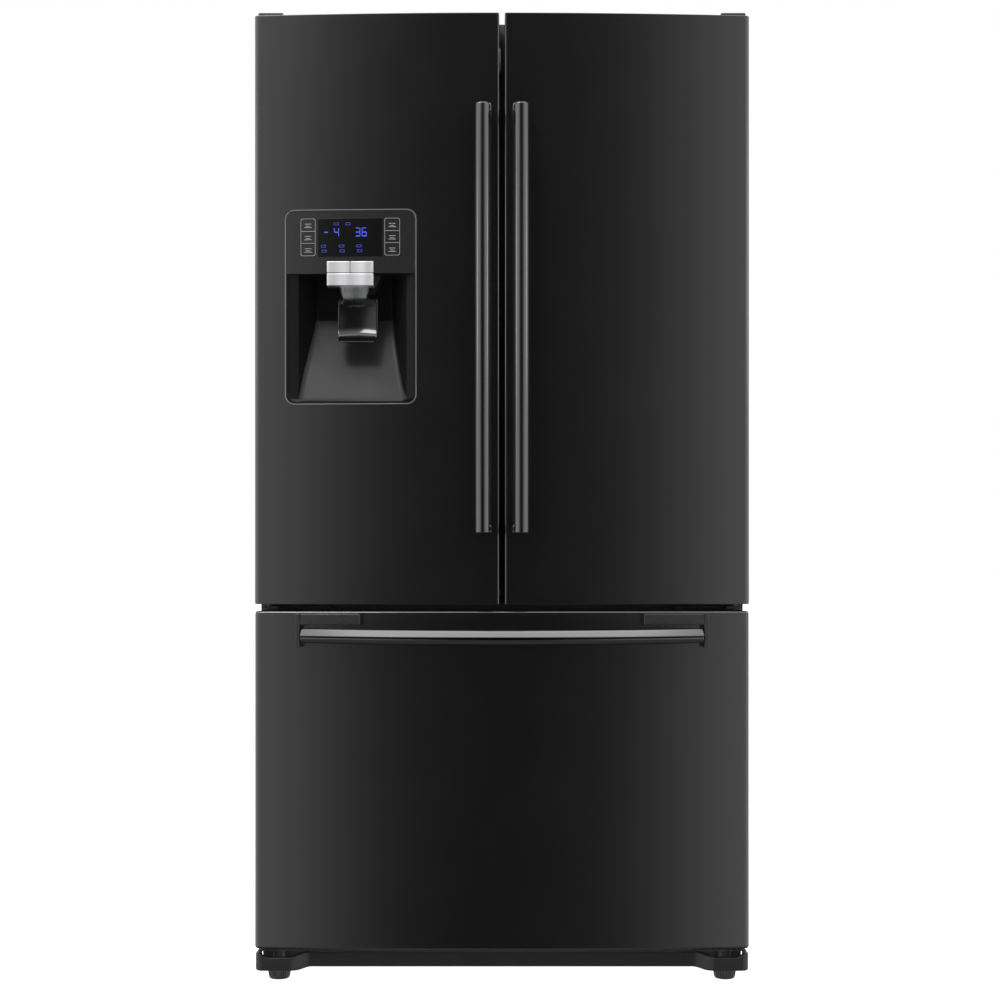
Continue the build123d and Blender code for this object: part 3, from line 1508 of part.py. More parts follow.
# Drawer handle: a bar bowed out and slightly down, pivoted at its two ends
with BuildPart() as freezer_handle:
    with BuildLine() as handle_path:
        ThreePointArc(
            (-DRAWER_HANDLE_HALF, DRAWER_HANDLE_END_Y, DRAWER_HANDLE_Z),
            (0, HANDLE_FRONT + HANDLE_DEPTH / 2, DRAWER_HANDLE_Z - DRAWER_HANDLE_DROP),
            (DRAWER_HANDLE_HALF, DRAWER_HANDLE_END_Y, DRAWER_HANDLE_Z),
        )
    with BuildSketch(Plane(handle_path.line @ 0, x_dir=(0, 0, 1), z_dir=handle_path.line % 0)):
        RectangleRounded(HANDLE_WIDTH, HANDLE_DEPTH, 7)
    sweep()
    for side in (-1, 1):
        block(
            side * DRAWER_HANDLE_HALF,
            side * (DRAWER_HANDLE_HALF + 20),
            -430,
            -380,
            600,
            680,
            mode=Mode.SUBTRACT,
        )
        rod_x(
            side * (DRAWER_HANDLE_HALF + 5),
            side * (DRAWER_HANDLE_HALF - 14),
            DRAWER_HANDLE_END_Y,
            DRAWER_HANDLE_Z,
            LEVER_PIN_RADIUS + RUNNING_CLEARANCE,
            mode=Mode.SUBTRACT,
        )
save(freezer_handle, "freezer_handle")

# Telescopic rails: a fixed outer member, a half-travel middle one and the drawer's own inner one
def rail_pair(section, y0, y1, name):
    """The left and right members of one stage."""
    inner_x, outer_x, height = section
    with BuildPart() as rails:
        for side in (-1, 1):
            block(side * inner_x, side * outer_x, y0, y1, SLIDE_Z - height / 2, SLIDE_Z + height / 2)
    save(rails, name)


rail_pair(OUTER_RAIL, SLIDE_FRONT, SLIDE_REAR, "drawer_rails_outer")
rail_pair(MIDDLE_RAIL, SLIDE_FRONT, SLIDE_REAR - 10, "drawer_rails_middle")

# Inner members reach forward to the drawer liner and carry the basket on a cross plate at the front
with BuildPart() as drawer_rails_inner:
    for side in (-1, 1):
        block(
            side * INNER_RAIL[0],
            side * INNER_RAIL[1],
            -279 + 0.1,
            SLIDE_REAR - 20,
            SLIDE_Z - INNER_RAIL[2] / 2,
            SLIDE_Z + INNER_RAIL[2] / 2,
        )
save(drawer_rails_inner, "drawer_rails_inner")

# Deep basket that rides on the drawer, and the shallow tray above it
basket_body = open_box(-374, 374, -277, 165, 112, 380, 3, 30)
with BuildPart() as freezer_basket:
    add(basket_body)
save(freezer_basket, "freezer_basket")

tray_body = open_box(-382, 382, -262, 300, 420, 560, 3, 20)
with BuildPart() as upper_tray:
    add(tray_body)
    for side in (-1, 1):
        block(side * 382, side * 397, TRAY_RUNNER_FRONT, 290, TRAY_RUNNER_Z, TRAY_RUNNER_Z + 8)
save(upper_tray, "upper_tray")
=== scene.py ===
import math

import bmesh
import bpy
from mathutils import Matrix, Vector


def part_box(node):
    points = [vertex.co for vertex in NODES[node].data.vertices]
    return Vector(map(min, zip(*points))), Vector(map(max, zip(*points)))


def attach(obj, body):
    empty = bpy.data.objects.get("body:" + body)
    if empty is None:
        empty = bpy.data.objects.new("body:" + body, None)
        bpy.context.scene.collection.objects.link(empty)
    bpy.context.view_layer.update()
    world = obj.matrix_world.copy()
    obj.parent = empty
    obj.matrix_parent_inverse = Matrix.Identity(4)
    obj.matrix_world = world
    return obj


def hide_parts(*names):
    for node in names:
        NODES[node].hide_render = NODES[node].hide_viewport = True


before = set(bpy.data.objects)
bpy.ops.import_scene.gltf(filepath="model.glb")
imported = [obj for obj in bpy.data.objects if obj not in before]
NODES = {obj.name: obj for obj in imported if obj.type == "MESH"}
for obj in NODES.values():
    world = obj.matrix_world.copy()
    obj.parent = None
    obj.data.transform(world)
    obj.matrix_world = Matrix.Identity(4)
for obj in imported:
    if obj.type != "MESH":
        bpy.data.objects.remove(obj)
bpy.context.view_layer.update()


def low(node):
    """Lowest corner of a CAD node."""
    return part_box(node)[0]


def high(node):
    """Highest corner of a CAD node."""
    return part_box(node)[1]


HALF_WIDTH = high("drawer_panel").x
FRONT_CENTRE = low("drawer_panel").y
FRONT_SAGITTA = 0.017
FRONT_RADIUS = (HALF_WIDTH**2 + FRONT_SAGITTA**2) / (2 * FRONT_SAGITTA)
ARC_CENTRE_Y = FRONT_CENTRE + FRONT_RADIUS
DOOR_BACK = high("drawer_panel").y
SKIN = 0.0012
EDGE_RADIUS = 0.0075
GAP_RADIUS = 0.003


def front_y(x, proud=0.0):
    """Depth of the common curved front at x, moved out by proud."""
    return ARC_CENTRE_Y - math.sqrt((FRONT_RADIUS + proud) ** 2 - x**2)


def span(first, last):
    """Middle and half length from first to last."""
    return (first + last) / 2, (last - first) / 2


def put(name, data):
    """A new object of the scene."""
    thing = bpy.data.objects.new(name, data)
    bpy.context.scene.collection.objects.link(thing)
    return thing


# ------------------------------------------------------------------ camera and light
CAMERA_HEIGHT = 0.737
CAMERA_DISTANCE = 3.1
CAMERA_LENS = 60.84
CAMERA_SHIFT = (-0.002, 0.083)
camera_data = bpy.data.cameras.new("camera")
camera_data.sensor_width = 36.0
camera_data.lens = CAMERA_LENS
camera_data.shift_x, camera_data.shift_y = CAMERA_SHIFT
camera = put("camera", camera_data)
camera.location = (0.0, FRONT_CENTRE + FRONT_SAGITTA - CAMERA_DISTANCE, CAMERA_HEIGHT)
camera.rotation_euler = (math.radians(90), 0.0, 0.0)
bpy.context.scene.camera = camera
bpy.context.scene.view_settings.view_transform = "Standard"

# Brightness of the studio wall by its bearing from straight ahead of the doors, degrees and value
WALL_BRIGHTNESS = (
    (0, 0.006), (5, 0.024), (8, 0.06), (10.5, 0.15), (12.5, 0.33), (15, 0.65), (17.5, 0.88), (24, 1.12),
    (40, 1.5), (90, 1.6), (180, 0.9),
)
WALL_PEAK = 2.0
# The ceiling and the ground: height of a direction where each starts and is whole, and its brightness
CEILING = (0.6, 0.8, 2.0)
GROUND = (-0.35, -0.6, 0.25)


def wire(tree, node, *inputs, **sockets):
    """Set a node's inputs, by place or by name, to values or to other nodes' outputs."""
    for key, value in [*enumerate(inputs), *sockets.items()]:
        socket = node.inputs[key.replace("_", " ") if isinstance(key, str) else key]
        if isinstance(value, bpy.types.NodeSocket):
            tree.links.new(value, socket)
        else:
            socket.default_value = value


def make_world():
    """A studio whose walls are dark ahead of the doors and bright at the sides, on white paper."""
    world = bpy.data.worlds.new("studio")
    world.use_nodes = True
    bpy.context.scene.world = world
    tree = world.node_tree
    tree.nodes.clear()

    def new(kind, *inputs, operation=None):
        """A node with its operation and its first inputs."""
        node = tree.nodes.new("ShaderNode" + kind)
        if operation:
            node.operation = operation
        wire(tree, node, *inputs)
        return node

    def level(value):
        """A grey of the wall's brightness, as a share of its peak."""
        return (value / WALL_PEAK, value / WALL_PEAK, value / WALL_PEAK, 1.0)

    direction = new("SeparateXYZ", new("TexCoord").outputs["Generated"]).outputs
    side = new("Math", direction["X"], operation="ABSOLUTE").outputs[0]
    ahead = new("Math", direction["Y"], -1.0, operation="MULTIPLY").outputs[0]
    bearing = new("Math", side, ahead, operation="ARCTAN2").outputs[0]
    ramp = new("ValToRGB", new("Math", bearing, math.pi, operation="DIVIDE").outputs[0])
    elements = ramp.color_ramp.elements
    while len(elements) < len(WALL_BRIGHTNESS):
        elements.new(0.5)
    for element, (degrees, value) in zip(elements, WALL_BRIGHTNESS):
        element.position = degrees / 180.0
        element.color = level(value)
    color = ramp.outputs["Color"]
    for start, whole, value in (CEILING, GROUND):
        share = new("MapRange", direction["Z"], start, whole)
        mix = new("Mix", share.outputs["Result"])
        mix.data_type = "RGBA"
        wire(tree, mix, A=color, B=level(value))
        color = mix.outputs["Result"]
    walls = new("Background", color, WALL_PEAK)
    paper = new("Background", (1.0, 1.0, 1.0, 1.0), 1.0)
    seen = new("LightPath").outputs["Is Camera Ray"]
    studio = new("MixShader", seen, walls.outputs[0], paper.outputs[0])
    new("OutputWorld", studio.outputs[0])


def softbox(name, place, target, width, height, power):
    """One rectangular studio light aimed at a point."""
    data = bpy.data.lights.new(name, "AREA")
    data.shape = "RECTANGLE"
    data.size = width
    data.size_y = height
    data.energy = power
    light = put(name, data)
    light.location = place
    aim = Vector(target) - Vector(place)
    light.rotation_euler = aim.to_track_quat("-Z", "Y").to_euler()


make_world()
softbox("overhead_box", (0.0, -0.6, 3.6), (0.0, -0.2, 1.0), 2.6, 1.6, 26.0)
softbox("front_box", (-1.2, -2.4, 3.7), (-0.27, -0.37, 1.2), 1.0, 0.8, 40.0)
for box_x in (-2.3, 2.3):
    softbox("side_box", (box_x, -1.5, 1.75), (0.0, -0.42, 1.3), 0.6, 0.8, 4.0)

# ------------------------------------------------------------------ materials
MATERIALS = {}
# Detail falloff of every noise, and the span of its values that a texture effect follows
NOISE_ROUGHNESS = 0.55
NOISE_RANGE = (0.3, 0.7)


class Shader:
    """A principled material under construction, with short helpers for its node network."""

    def __init__(self, name, color, roughness, metallic=0.0, **sockets):
        self.material = bpy.data.materials.new(name)
        self.material.use_nodes = True
        self.tree = self.material.node_tree
        self.coords = self.tree.nodes.new("ShaderNodeTexCoord").outputs["Object"]
        self.set(Base_Color=(*color, 1.0), Roughness=roughness, Metallic=metallic, **sockets)
        MATERIALS[name] = self.material

    def set(self, **sockets):
        """Set the finish's own sockets."""
        wire(self.tree, self.tree.nodes["Principled BSDF"], **sockets)

    def new(self, kind, output, *inputs, **sockets):
        """The output of a new node."""
        node = self.tree.nodes.new("ShaderNode" + kind)
        wire(self.tree, node, *inputs, **sockets)
        return node.outputs[output]

    def noise(self, scale, detail=3.0, stretch=None):
        """A noise value over the surface, drawn out along the axes where stretch is small."""
        place = self.new("Mapping", "Vector", Vector=self.coords, Scale=stretch) if stretch else self.coords
        look = {"Scale": scale, "Detail": detail, "Roughness": NOISE_ROUGHNESS}
        return self.new("TexNoise", "Fac", Vector=place, **look)

    def cells(self, scale):
        """A random colour for each cell of the surface, for spangle."""
        return self.new("TexVoronoi", "Color", Vector=self.coords, Scale=scale)

    def vary_roughness(self, value, lowest, highest):
        """Roughness that follows a texture value."""
        self.set(Roughness=self.new("MapRange", "Result", value, *NOISE_RANGE, lowest, highest))

    def vary_color(self, value, dark, light, span=NOISE_RANGE):
        """Base colour between two tones by a texture value over its span."""
        mix = self.tree.nodes.new("ShaderNodeMix")
        mix.data_type = "RGBA"
        share = self.new("MapRange", "Result", value, *span, 0.0, 1.0)
        wire(self.tree, mix, Factor=share, A=(*dark, 1.0), B=(*light, 1.0))
        self.set(Base_Color=mix.outputs["Result"])

    def bump(self, value, distance, strength):
        """Fine relief from a texture value, distance in metres."""
        self.set(Normal=self.new("Bump", "Normal", Height=value, Distance=distance, Strength=strength))

    def glow(self, color, strength):
        """Light that the surface gives off."""
        self.set(Emission_Color=(*color, 1.0), Emission_Strength=strength)


def grey(value):
    """A neutral colour."""
    return (value, value, value * 1.02)


def finish(*shader, rough=None, tones=None, relief=None, **sockets):
    """A material whose roughness, colour and relief each follow a noise, given as its values first."""
    surface = Shader(*shader, **sockets)
    if rough:
        surface.vary_roughness(surface.noise(*rough[0]), *rough[1:])
    if tones:
        surface.vary_color(surface.noise(*tones[0]), *tones[1:])
    if relief:
        surface.bump(surface.noise(*relief[0]), *relief[1:])
    return surface


def make_materials():
    """Every finish of the object."""
    finish(
        "door_paint", grey(0.002), 0.18, Specular_IOR_Level=1.0,
        rough=((9.0, 4.0), 0.17, 0.19), relief=((420.0, 2.0), 0.00001, 0.1),
    )
    finish(
        "cabinet_paint", grey(0.02), 0.5,
        tones=((14.0,), grey(0.0195), grey(0.0220)), relief=((900.0, 3.0), 0.00012, 0.6),
    )
    zinc = Shader("galvanised", grey(0.5), 0.42, 0.9)
    zinc.vary_color(zinc.cells(150.0), grey(0.40), grey(0.46), (0.0, 1.0))
    zinc.vary_roughness(zinc.noise(80.0), 0.36, 0.5)
    finish("black_trim", grey(0.012), 0.42, rough=((30.0,), 0.38, 0.46), relief=((1400.0, 2.0), 0.00004, 0.5))
    finish("black_gloss", grey(0.012), 0.16, rough=((12.0,), 0.13, 0.19), relief=((140.0, 2.0), 0.00001, 0.3))
    finish("fascia_gloss", grey(0.010), 0.12, rough=((12.0,), 0.1, 0.15), relief=((140.0, 2.0), 0.00001, 0.2))
    finish("bracket_gloss", grey(0.008), 0.24, rough=((30.0,), 0.24, 0.32))
    finish(
        "kick_plastic", grey(0.007), 0.36, Specular_IOR_Level=0.3,
        rough=((30.0,), 0.32, 0.4), relief=((1200.0, 2.0), 0.00003, 0.4),
    )
    finish("bin_trim", grey(0.45), 0.3, 0.8, rough=((200.0, 3.0, (0.02, 1, 1)), 0.26, 0.36))
    finish("lip_rubber", grey(0.006), 0.6, tones=((60.0,), grey(0.005), grey(0.008)))
    # Lighter, rougher copy of the recess plastic for its up-facing ramp: painted light
    finish(
        "ramp_lit_gloss", grey(0.0102), 0.4, Specular_IOR_Level=0.2,
        rough=((16.0,), 0.36, 0.44), relief=((160.0, 2.0), 0.00001, 0.3),
    )
    finish("paddle_gloss", grey(0.004), 0.1, rough=((16.0,), 0.08, 0.13))
    # Darker, barely shiny copy of the same plastic for the recess walls and the funnel: painted shade
    finish(
        "recess_shaded_gloss", grey(0.004), 0.2, Specular_IOR_Level=0.07,
        rough=((16.0,), 0.16, 0.24), relief=((160.0, 2.0), 0.00001, 0.3),
    )
    finish(
        "handle_metal", grey(0.10), 0.2, 1.0,
        rough=((40.0, 4.0, (1, 1, 0.04)), 0.18, 0.22), relief=((1500.0, 2.0, (1, 1, 0.02)), 0.000004, 0.2),
    )
    finish(
        "drawer_handle_metal", grey(0.10), 0.2, 1.0,
        rough=((40.0, 4.0, (0.04, 1, 1)), 0.18, 0.22), relief=((1500.0, 2.0, (0.02, 1, 1)), 0.000004, 0.2),
    )
    # Brushed metal: the relief gives its streaks, while the vertical light and dark bands in its base colour
    # are painted reflection bands
    finish(
        "brushed_block", grey(0.85), 0.5, 1.0,
        tones=((45.0, 1.0, (1, 0.02, 0.02)), grey(0.52), grey(0.84)),
        relief=((1800.0, 2.0, (0.01, 1, 1)), 0.00001, 0.5),
    )
    finish(
        "clear_chute", (0.9, 0.92, 0.94), 0.04, 0.0, Transmission_Weight=1.0, IOR=1.46,
        rough=((60.0,), 0.03, 0.06),
    )
    finish("display_glass", grey(0.003), 0.06, Specular_IOR_Level=0.25, rough=((20.0,), 0.05, 0.08))
    finish("outline_trim", grey(0.22), 0.35, 0.8, rough=((200.0,), 0.3, 0.42))
    finish("panel_print", grey(0.18), 0.5, tones=((700.0,), grey(0.16), grey(0.20)))
    finish(
        "white_liner", (0.80, 0.81, 0.81), 0.32,
        rough=((12.0,), 0.28, 0.38), relief=((300.0, 2.0), 0.00002, 0.4),
    )
    finish(
        "foam", (0.75, 0.66, 0.42), 0.85,
        tones=((60.0,), (0.70, 0.60, 0.36), (0.80, 0.72, 0.48)), relief=((500.0, 4.0), 0.0004, 0.7),
    )
    finish(
        "seal_rubber", grey(0.20), 0.7,
        tones=((40.0,), grey(0.17), grey(0.22)), relief=((900.0, 2.0), 0.00005, 0.5),
    )
    finish(
        "shelf_glass", (0.88, 0.97, 0.93), 0.02, 0.0, Transmission_Weight=1.0, IOR=1.5,
        rough=((6.0,), 0.01, 0.04),
    )
    finish(
        "clear_bin", (0.86, 0.92, 0.95), 0.08, 0.0, Transmission_Weight=0.92, IOR=1.45,
        rough=((8.0,), 0.05, 0.12), relief=((90.0, 2.0), 0.00003, 0.3),
    )
    finish("frosted_bin", (0.74, 0.79, 0.82), 0.3, rough=((25.0,), 0.26, 0.36))
    finish("aluminium_coil", grey(0.62), 0.36, 1.0, tones=((60.0,), grey(0.52), grey(0.68)))
    finish("compressor_black", grey(0.012), 0.4, rough=((50.0,), 0.34, 0.5))
    finish("hinge_steel", grey(0.38), 0.35, 1.0, rough=((120.0, 3.0, (0.1, 1, 1)), 0.28, 0.45))
    lamp = finish("lamp_diffuser", (0.95, 0.94, 0.9), 0.4, relief=((400.0, 2.0), 0.0001, 0.6))
    lamp.glow((1.0, 0.97, 0.9), 1.6)
    finish("foot_rubber", grey(0.008), 0.5, tones=((80.0,), grey(0.006), grey(0.011)))
    finish("valve_plastic", (0.6, 0.6, 0.56), 0.45, rough=((60.0,), 0.4, 0.5))
    for name, strength in (("display_blue", 0.4), ("display_dim", 0.10)):
        blue = finish(name, (0.02, 0.03, 0.3), 0.4, tones=((300.0,), (0.02, 0.03, 0.28), (0.03, 0.04, 0.34)))
        blue.glow((0.07, 0.09, 1.0), strength)
    tones = ((3.0,), (0.89, 0.89, 0.89), (0.91, 0.91, 0.91))
    paper = finish("paper_floor", (0.9, 0.9, 0.9), 0.9, tones=tones)
    paper.glow((1.0, 1.0, 1.0), 1.0)


make_materials()

NODE_MATERIALS = {
    "cabinet_paint": ("cabinet_shell", "front_mullion", "base_frame"),
    "galvanised": ("rear_panel", "machine_cover"),
    "foam": ("cabinet_foam",),
    "white_liner": (
        *("fridge_liner", "freezer_liner", "duct_covers", "crisper_cover", "shelf_frames", "ice_maker"),
        *("left_door_liner", "right_door_liner", "drawer_liner"),
    ),
    "black_trim": (
        *("top_cover", "door_hinges", "kick_moulding", "condenser_fan", "left_door_caps"),
        *("right_door_caps", "handle_brackets", "flipper_mullion", "roller_left", "roller_right"),
    ),
    "black_gloss": ("dispenser_bezel", "dispenser_paddle"),
    "recess_shaded_gloss": ("dispenser_housing",),
    "display_glass": ("dispenser_display",),
    "brushed_block": ("ice_button", "water_button", "dispenser_nozzle"),
    "hinge_steel": ("drawer_rails_outer", "drawer_rails_middle", "drawer_rails_inner"),
    "compressor_black": ("compressor",),
    "aluminium_coil": ("condenser", "evaporators"),
    "valve_plastic": ("water_valve",),
    "shelf_glass": ("glass_shelves",),
    "clear_bin": ("left_door_bins", "right_door_bins", "crisper_left", "crisper_right", "pantry_drawer"),
    "frosted_bin": ("ice_bucket", "freezer_basket", "upper_tray"),
    "lamp_diffuser": ("interior_lamps",),
    "seal_rubber": ("left_door_gasket", "right_door_gasket", "drawer_gasket"),
    "foot_rubber": ("foot_left", "foot_right"),
    "door_paint": ("left_door_panel", "right_door_panel", "drawer_panel"),
    "handle_metal": ("left_door_handle", "right_door_handle"),
    "drawer_handle_metal": ("freezer_handle",),
}
SHADE_ANGLE = math.radians(32)
BEVEL_ANGLE = math.radians(30)


def smooth_faces(mesh):
    """Smooth a mesh except at its sharp edges."""
    mesh.polygons.foreach_set("use_smooth", [True] * len(mesh.polygons))
    mesh.set_sharp_from_angle(angle=SHADE_ANGLE)


def dress_nodes():
    """Give every CAD node its finish, and smooth its round faces."""
    for material, names in NODE_MATERIALS.items():
        for name in names:
            mesh = NODES[name].data
            mesh.materials.clear()
            mesh.materials.append(MATERIALS[material])
            smooth_faces(mesh)


dress_nodes()

# Height above which the hinges show bare steel, over the doors
STEEL_HINGES_FROM = 1.7


def brighten_top_hinges():
    """Leave the top hinges in bare steel above the black middle ones."""
    mesh = NODES["door_hinges"].data
    mesh.materials.append(MATERIALS["hinge_steel"])
    for polygon in mesh.polygons:
        if polygon.center.z > STEEL_HINGES_FROM:
            polygon.material_index = 1


brighten_top_hinges()

# ------------------------------------------------------------------ mesh tools


def even_shading(piece):
    """Weight a piece's normals by the size of its faces."""
    piece.modifiers.new("even_shading", "WEIGHTED_NORMAL").keep_sharp = True


def thicken(piece, name, amount, offset):
    """Give a sheet its thickness, to the side that offset says."""
    modifier = piece.modifiers.new(name, "SOLIDIFY")
    modifier.thickness = amount
    modifier.offset = offset
    return modifier


def add_piece(name, verts, faces, material, body, slot, replaces=(), weighted=True):
    """A mesh piece in the row's frame that rides on a CAD body."""
    mesh = bpy.data.meshes.new(name)
    mesh.from_pydata([tuple(v) for v in verts], [], [tuple(f) for f in faces])
    mesh.validate()
    work = bmesh.new()
    work.from_mesh(mesh)
    bmesh.ops.remove_doubles(work, verts=work.verts, dist=1e-6)
    bmesh.ops.recalc_face_normals(work, faces=work.faces)
    work.to_mesh(mesh)
    work.free()
    smooth_faces(mesh)
    mesh.materials.append(MATERIALS[material])
    piece = put(name, mesh)
    if weighted:
        even_shading(piece)
    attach(piece, body)
    if replaces:
        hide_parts(*replaces)
    return piece


def sharpen_rim(mesh):
    """Mark every open edge sharp, so that a sheet keeps its shading up to its rim."""
    work = bmesh.new()
    work.from_mesh(mesh)
    for edge in work.edges:
        if edge.is_boundary:
            edge.smooth = False
    work.to_mesh(mesh)
    work.free()


def bevel(piece, width, segments):
    """Round a piece's edges, before its shading modifier."""
    modifier = piece.modifiers.new("rounded_edges", "BEVEL")
    modifier.width = width
    modifier.segments = segments
    modifier.limit_method = "ANGLE"
    modifier.angle_limit = BEVEL_ANGLE
    modifier.harden_normals = False
    piece.modifiers.move(len(piece.modifiers) - 1, 0)


def quarter(steps, first=0):
    """One less the sine and one less the cosine of each step of a quarter turn."""
    turns = [math.radians(90 * step / steps) for step in range(first, steps + 1)]
    return [(1 - math.sin(turn), 1 - math.cos(turn)) for turn in turns]


def circle(steps):
    """Cosine and sine of each step of a full turn."""
    turns = [2 * math.pi * step / steps for step in range(steps)]
    return [(math.cos(turn), math.sin(turn)) for turn in turns]


def rounded_outline(half_u, half_v, radius, steps=6):
    """Points of a rounded rectangle round the origin, anticlockwise."""
    points = []
    for corner, (su, sv) in enumerate(((1, 1), (-1, 1), (-1, -1), (1, -1))):
        for step in range(steps + 1):
            turn = math.radians(90 * corner + 90 * step / steps)
            u = su * (half_u - radius) + radius * math.cos(turn)
            v = sv * (half_v - radius) + radius * math.sin(turn)
            points.append((u, v))
    return points


def skin_rings(rings, closed=True, caps=True, looped=False):
    """Faces that join equal rings of points one after another, and the last to the first if looped."""
    size = len(rings[0])
    verts = [point for ring in rings for point in ring]
    faces = []
    for row in range(len(rings) if looped else len(rings) - 1):
        here, above = row * size, (row + 1) % len(rings) * size
        for column in range(size if closed else size - 1):
            following = (column + 1) % size
            faces.append((here + column, here + following, above + following, above + column))
    if caps:
        faces.append(tuple(range(size)))
        faces.append(tuple((len(rings) - 1) * size + column for column in range(size)))
    return verts, faces


def closed_sweep(rings):
    """Faces of a tube whose last ring joins its first."""
    return skin_rings(rings, caps=False, looped=True)


# ------------------------------------------------------------------ doors and drawer skins
FRONT_STEPS = 150
CORNER_STEPS = 8
# Least distance between a column of the skin and one that a hole needs
COLUMN_GAP = 0.0012
# The skin faces the front where its normal's y is below this
FACING_FRONT = -0.9
BEZEL_RADIUS = 0.018
BEZEL_GAP = 0.0003


def corner_centre(x_side, radius, inward):
    """Centre of the fillet between a flat edge and the curved front."""
    cx = x_side + inward * radius
    return cx, front_y(cx, -radius)


def plan_points(left, right, radius_left, radius_right, extra_x=()):
    """Plan outline from the back of one edge round the front to the other, with outward normals."""
    cx0, cy0 = corner_centre(left, radius_left, 1)
    cx1, cy1 = corner_centre(right, radius_right, -1)
    arc0 = math.atan2(cy0 - ARC_CENTRE_Y, cx0)
    arc1 = math.atan2(cy1 - ARC_CENTRE_Y, cx1)
    outline = [((left, DOOR_BACK), (-1.0, 0.0)), ((left, (DOOR_BACK + cy0) / 2), (-1.0, 0.0))]
    for step in range(CORNER_STEPS + 1):
        turn = math.pi + (arc0 + math.pi) * step / CORNER_STEPS
        normal = (math.cos(turn), math.sin(turn))
        outline.append(((cx0 + radius_left * normal[0], cy0 + radius_left * normal[1]), normal))
    x_first = outline[-1][0][0]
    arc_x1 = FRONT_RADIUS * math.cos(arc1)
    inner = [x_first + (arc_x1 - x_first) * step / FRONT_STEPS for step in range(1, FRONT_STEPS)]
    inner = [x for x in inner if all(abs(x - other) > COLUMN_GAP for other in extra_x)]
    for x in sorted(inner + list(extra_x)):
        y = front_y(x)
        outline.append(((x, y), (x / FRONT_RADIUS, (y - ARC_CENTRE_Y) / FRONT_RADIUS)))
    for step in range(CORNER_STEPS + 1):
        turn = arc1 + 2 * math.pi - arc1 * step / CORNER_STEPS
        normal = (math.cos(turn), math.sin(turn))
        outline.append(((cx1 + radius_right * normal[0], cy1 + radius_right * normal[1]), normal))
    outline.append(((right, (DOOR_BACK + cy1) / 2), (1.0, 0.0)))
    outline.append(((right, DOOR_BACK), (1.0, 0.0)))
    return outline


def hole_columns(hole, steps=7):
    """The x of every column that the rounded hole's corners need."""
    x0, x1, z0, z1, radius = hole
    columns = []
    for share, _ in quarter(steps):
        columns += [x0 + radius * share, x1 - radius * share]
    return sorted(set(round(x, 7) for x in columns))


def hole_span(hole, x):
    """Lowest and highest z of the hole at x, or None outside it."""
    x0, x1, z0, z1, radius = hole
    if x < x0 - 1e-6 or x > x1 + 1e-6:
        return None
    reach = max(x0 + radius - x, x - (x1 - radius), 0.0)
    rise = radius - math.sqrt(max(radius**2 - reach**2, 0.0))
    return z0 + rise, z1 - rise


def cut_hole(hole, outline, middle, verts, faces):
    """Faces of a skin with a rounded hole in its middle row. The hole's corners join verts."""
    size = len(outline)
    kept, crossed, extra = [], {}, {}
    for face in faces:
        row, column = divmod(face[0], size)
        if row == middle:
            crossed[column] = face
        else:
            kept.append(face)

    def inside(column):
        (x, _), (_, normal_y) = outline[column]
        return hole_span(hole, x) is not None and normal_y < FACING_FRONT

    def corner(column, which):
        if (column, which) not in extra:
            (x, y), _ = outline[column]
            extra[column, which] = len(verts)
            verts.append((x, y, hole_span(hole, x)[which]))
        return extra[column, which]

    for column, (a, b, c, d) in crossed.items():
        following = column + 1
        if inside(column) and inside(following):
            kept.append((a, b, corner(following, 0), corner(column, 0)))
            kept.append((corner(column, 1), corner(following, 1), c, d))
        elif inside(following):
            kept.append((a, b, corner(following, 0), corner(following, 1), c, d))
        elif inside(column):
            kept.append((a, b, c, d, corner(column, 1), corner(column, 0)))
        else:
            kept.append((a, b, c, d))
    return kept


def curved_skin(name, node, body, radii, edge, flange, hole):
    """The folded steel skin of a door or the drawer, in place of its CAD panel."""
    lowest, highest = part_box(node)
    outline = plan_points(lowest.x, highest.x, *radii, extra_x=hole_columns(hole) if hole else ())
    levels = [(edge * inward, lowest.z + edge * up) for inward, up in quarter(4)]
    levels += [(inset, lowest.z + highest.z - z) for inset, z in reversed(levels)]
    if flange:
        levels = [(edge + flange, lowest.z)] + levels + [(edge + flange, highest.z)]
    rings = []
    for inset, z in levels:
        rings.append([(x - nx * inset, min(y - ny * inset, DOOR_BACK), z) for (x, y), (nx, ny) in outline])
    verts, faces = skin_rings(rings, closed=False, caps=False)
    if hole:
        faces = cut_hole(hole, outline, len(levels) // 2 - 1, verts, faces)
    mesh = bpy.data.meshes.new(name)
    mesh.from_pydata(verts, [], faces)
    smooth_faces(mesh)
    sharpen_rim(mesh)
    mesh.materials.append(MATERIALS["door_paint"])
    piece = put(name, mesh)
    thicken(piece, "sheet", SKIN, -1.0).use_even_offset = True
    even_shading(piece)
    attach(piece, body)
    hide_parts(node)


def make_skins():
    """Both doors and the drawer front."""
    lowest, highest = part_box("dispenser_bezel")
    left, right = lowest.x - BEZEL_GAP, highest.x + BEZEL_GAP
    hole = (left, right, lowest.z - BEZEL_GAP, highest.z + BEZEL_GAP, BEZEL_RADIUS)
    for name, node, body, radii, edge, flange, opening in (
        ("left_door_skin", "left_door_panel", "left_door", (EDGE_RADIUS, GAP_RADIUS), 0.0012, 0.0, hole),
        ("right_door_skin", "right_door_panel", "right_door", (GAP_RADIUS, EDGE_RADIUS), 0.0012, 0.0, None),
        ("drawer_skin", "drawer_panel", "freezer_drawer", (EDGE_RADIUS, EDGE_RADIUS), 0.005, 0.02, None),
    ):
        curved_skin(name, node, body, radii, edge, flange, opening)


make_skins()

# ------------------------------------------------------------------ handles
BAR_WIDTH = 0.026
BAR_DEPTH = 0.020
DOOR_BAR_STEPS = 36
DRAWER_BAR_STEPS = 48
HANDLE_X = 0.035
HANDLE_BOW = 0.012
BAR_END_GAP = 0.0002
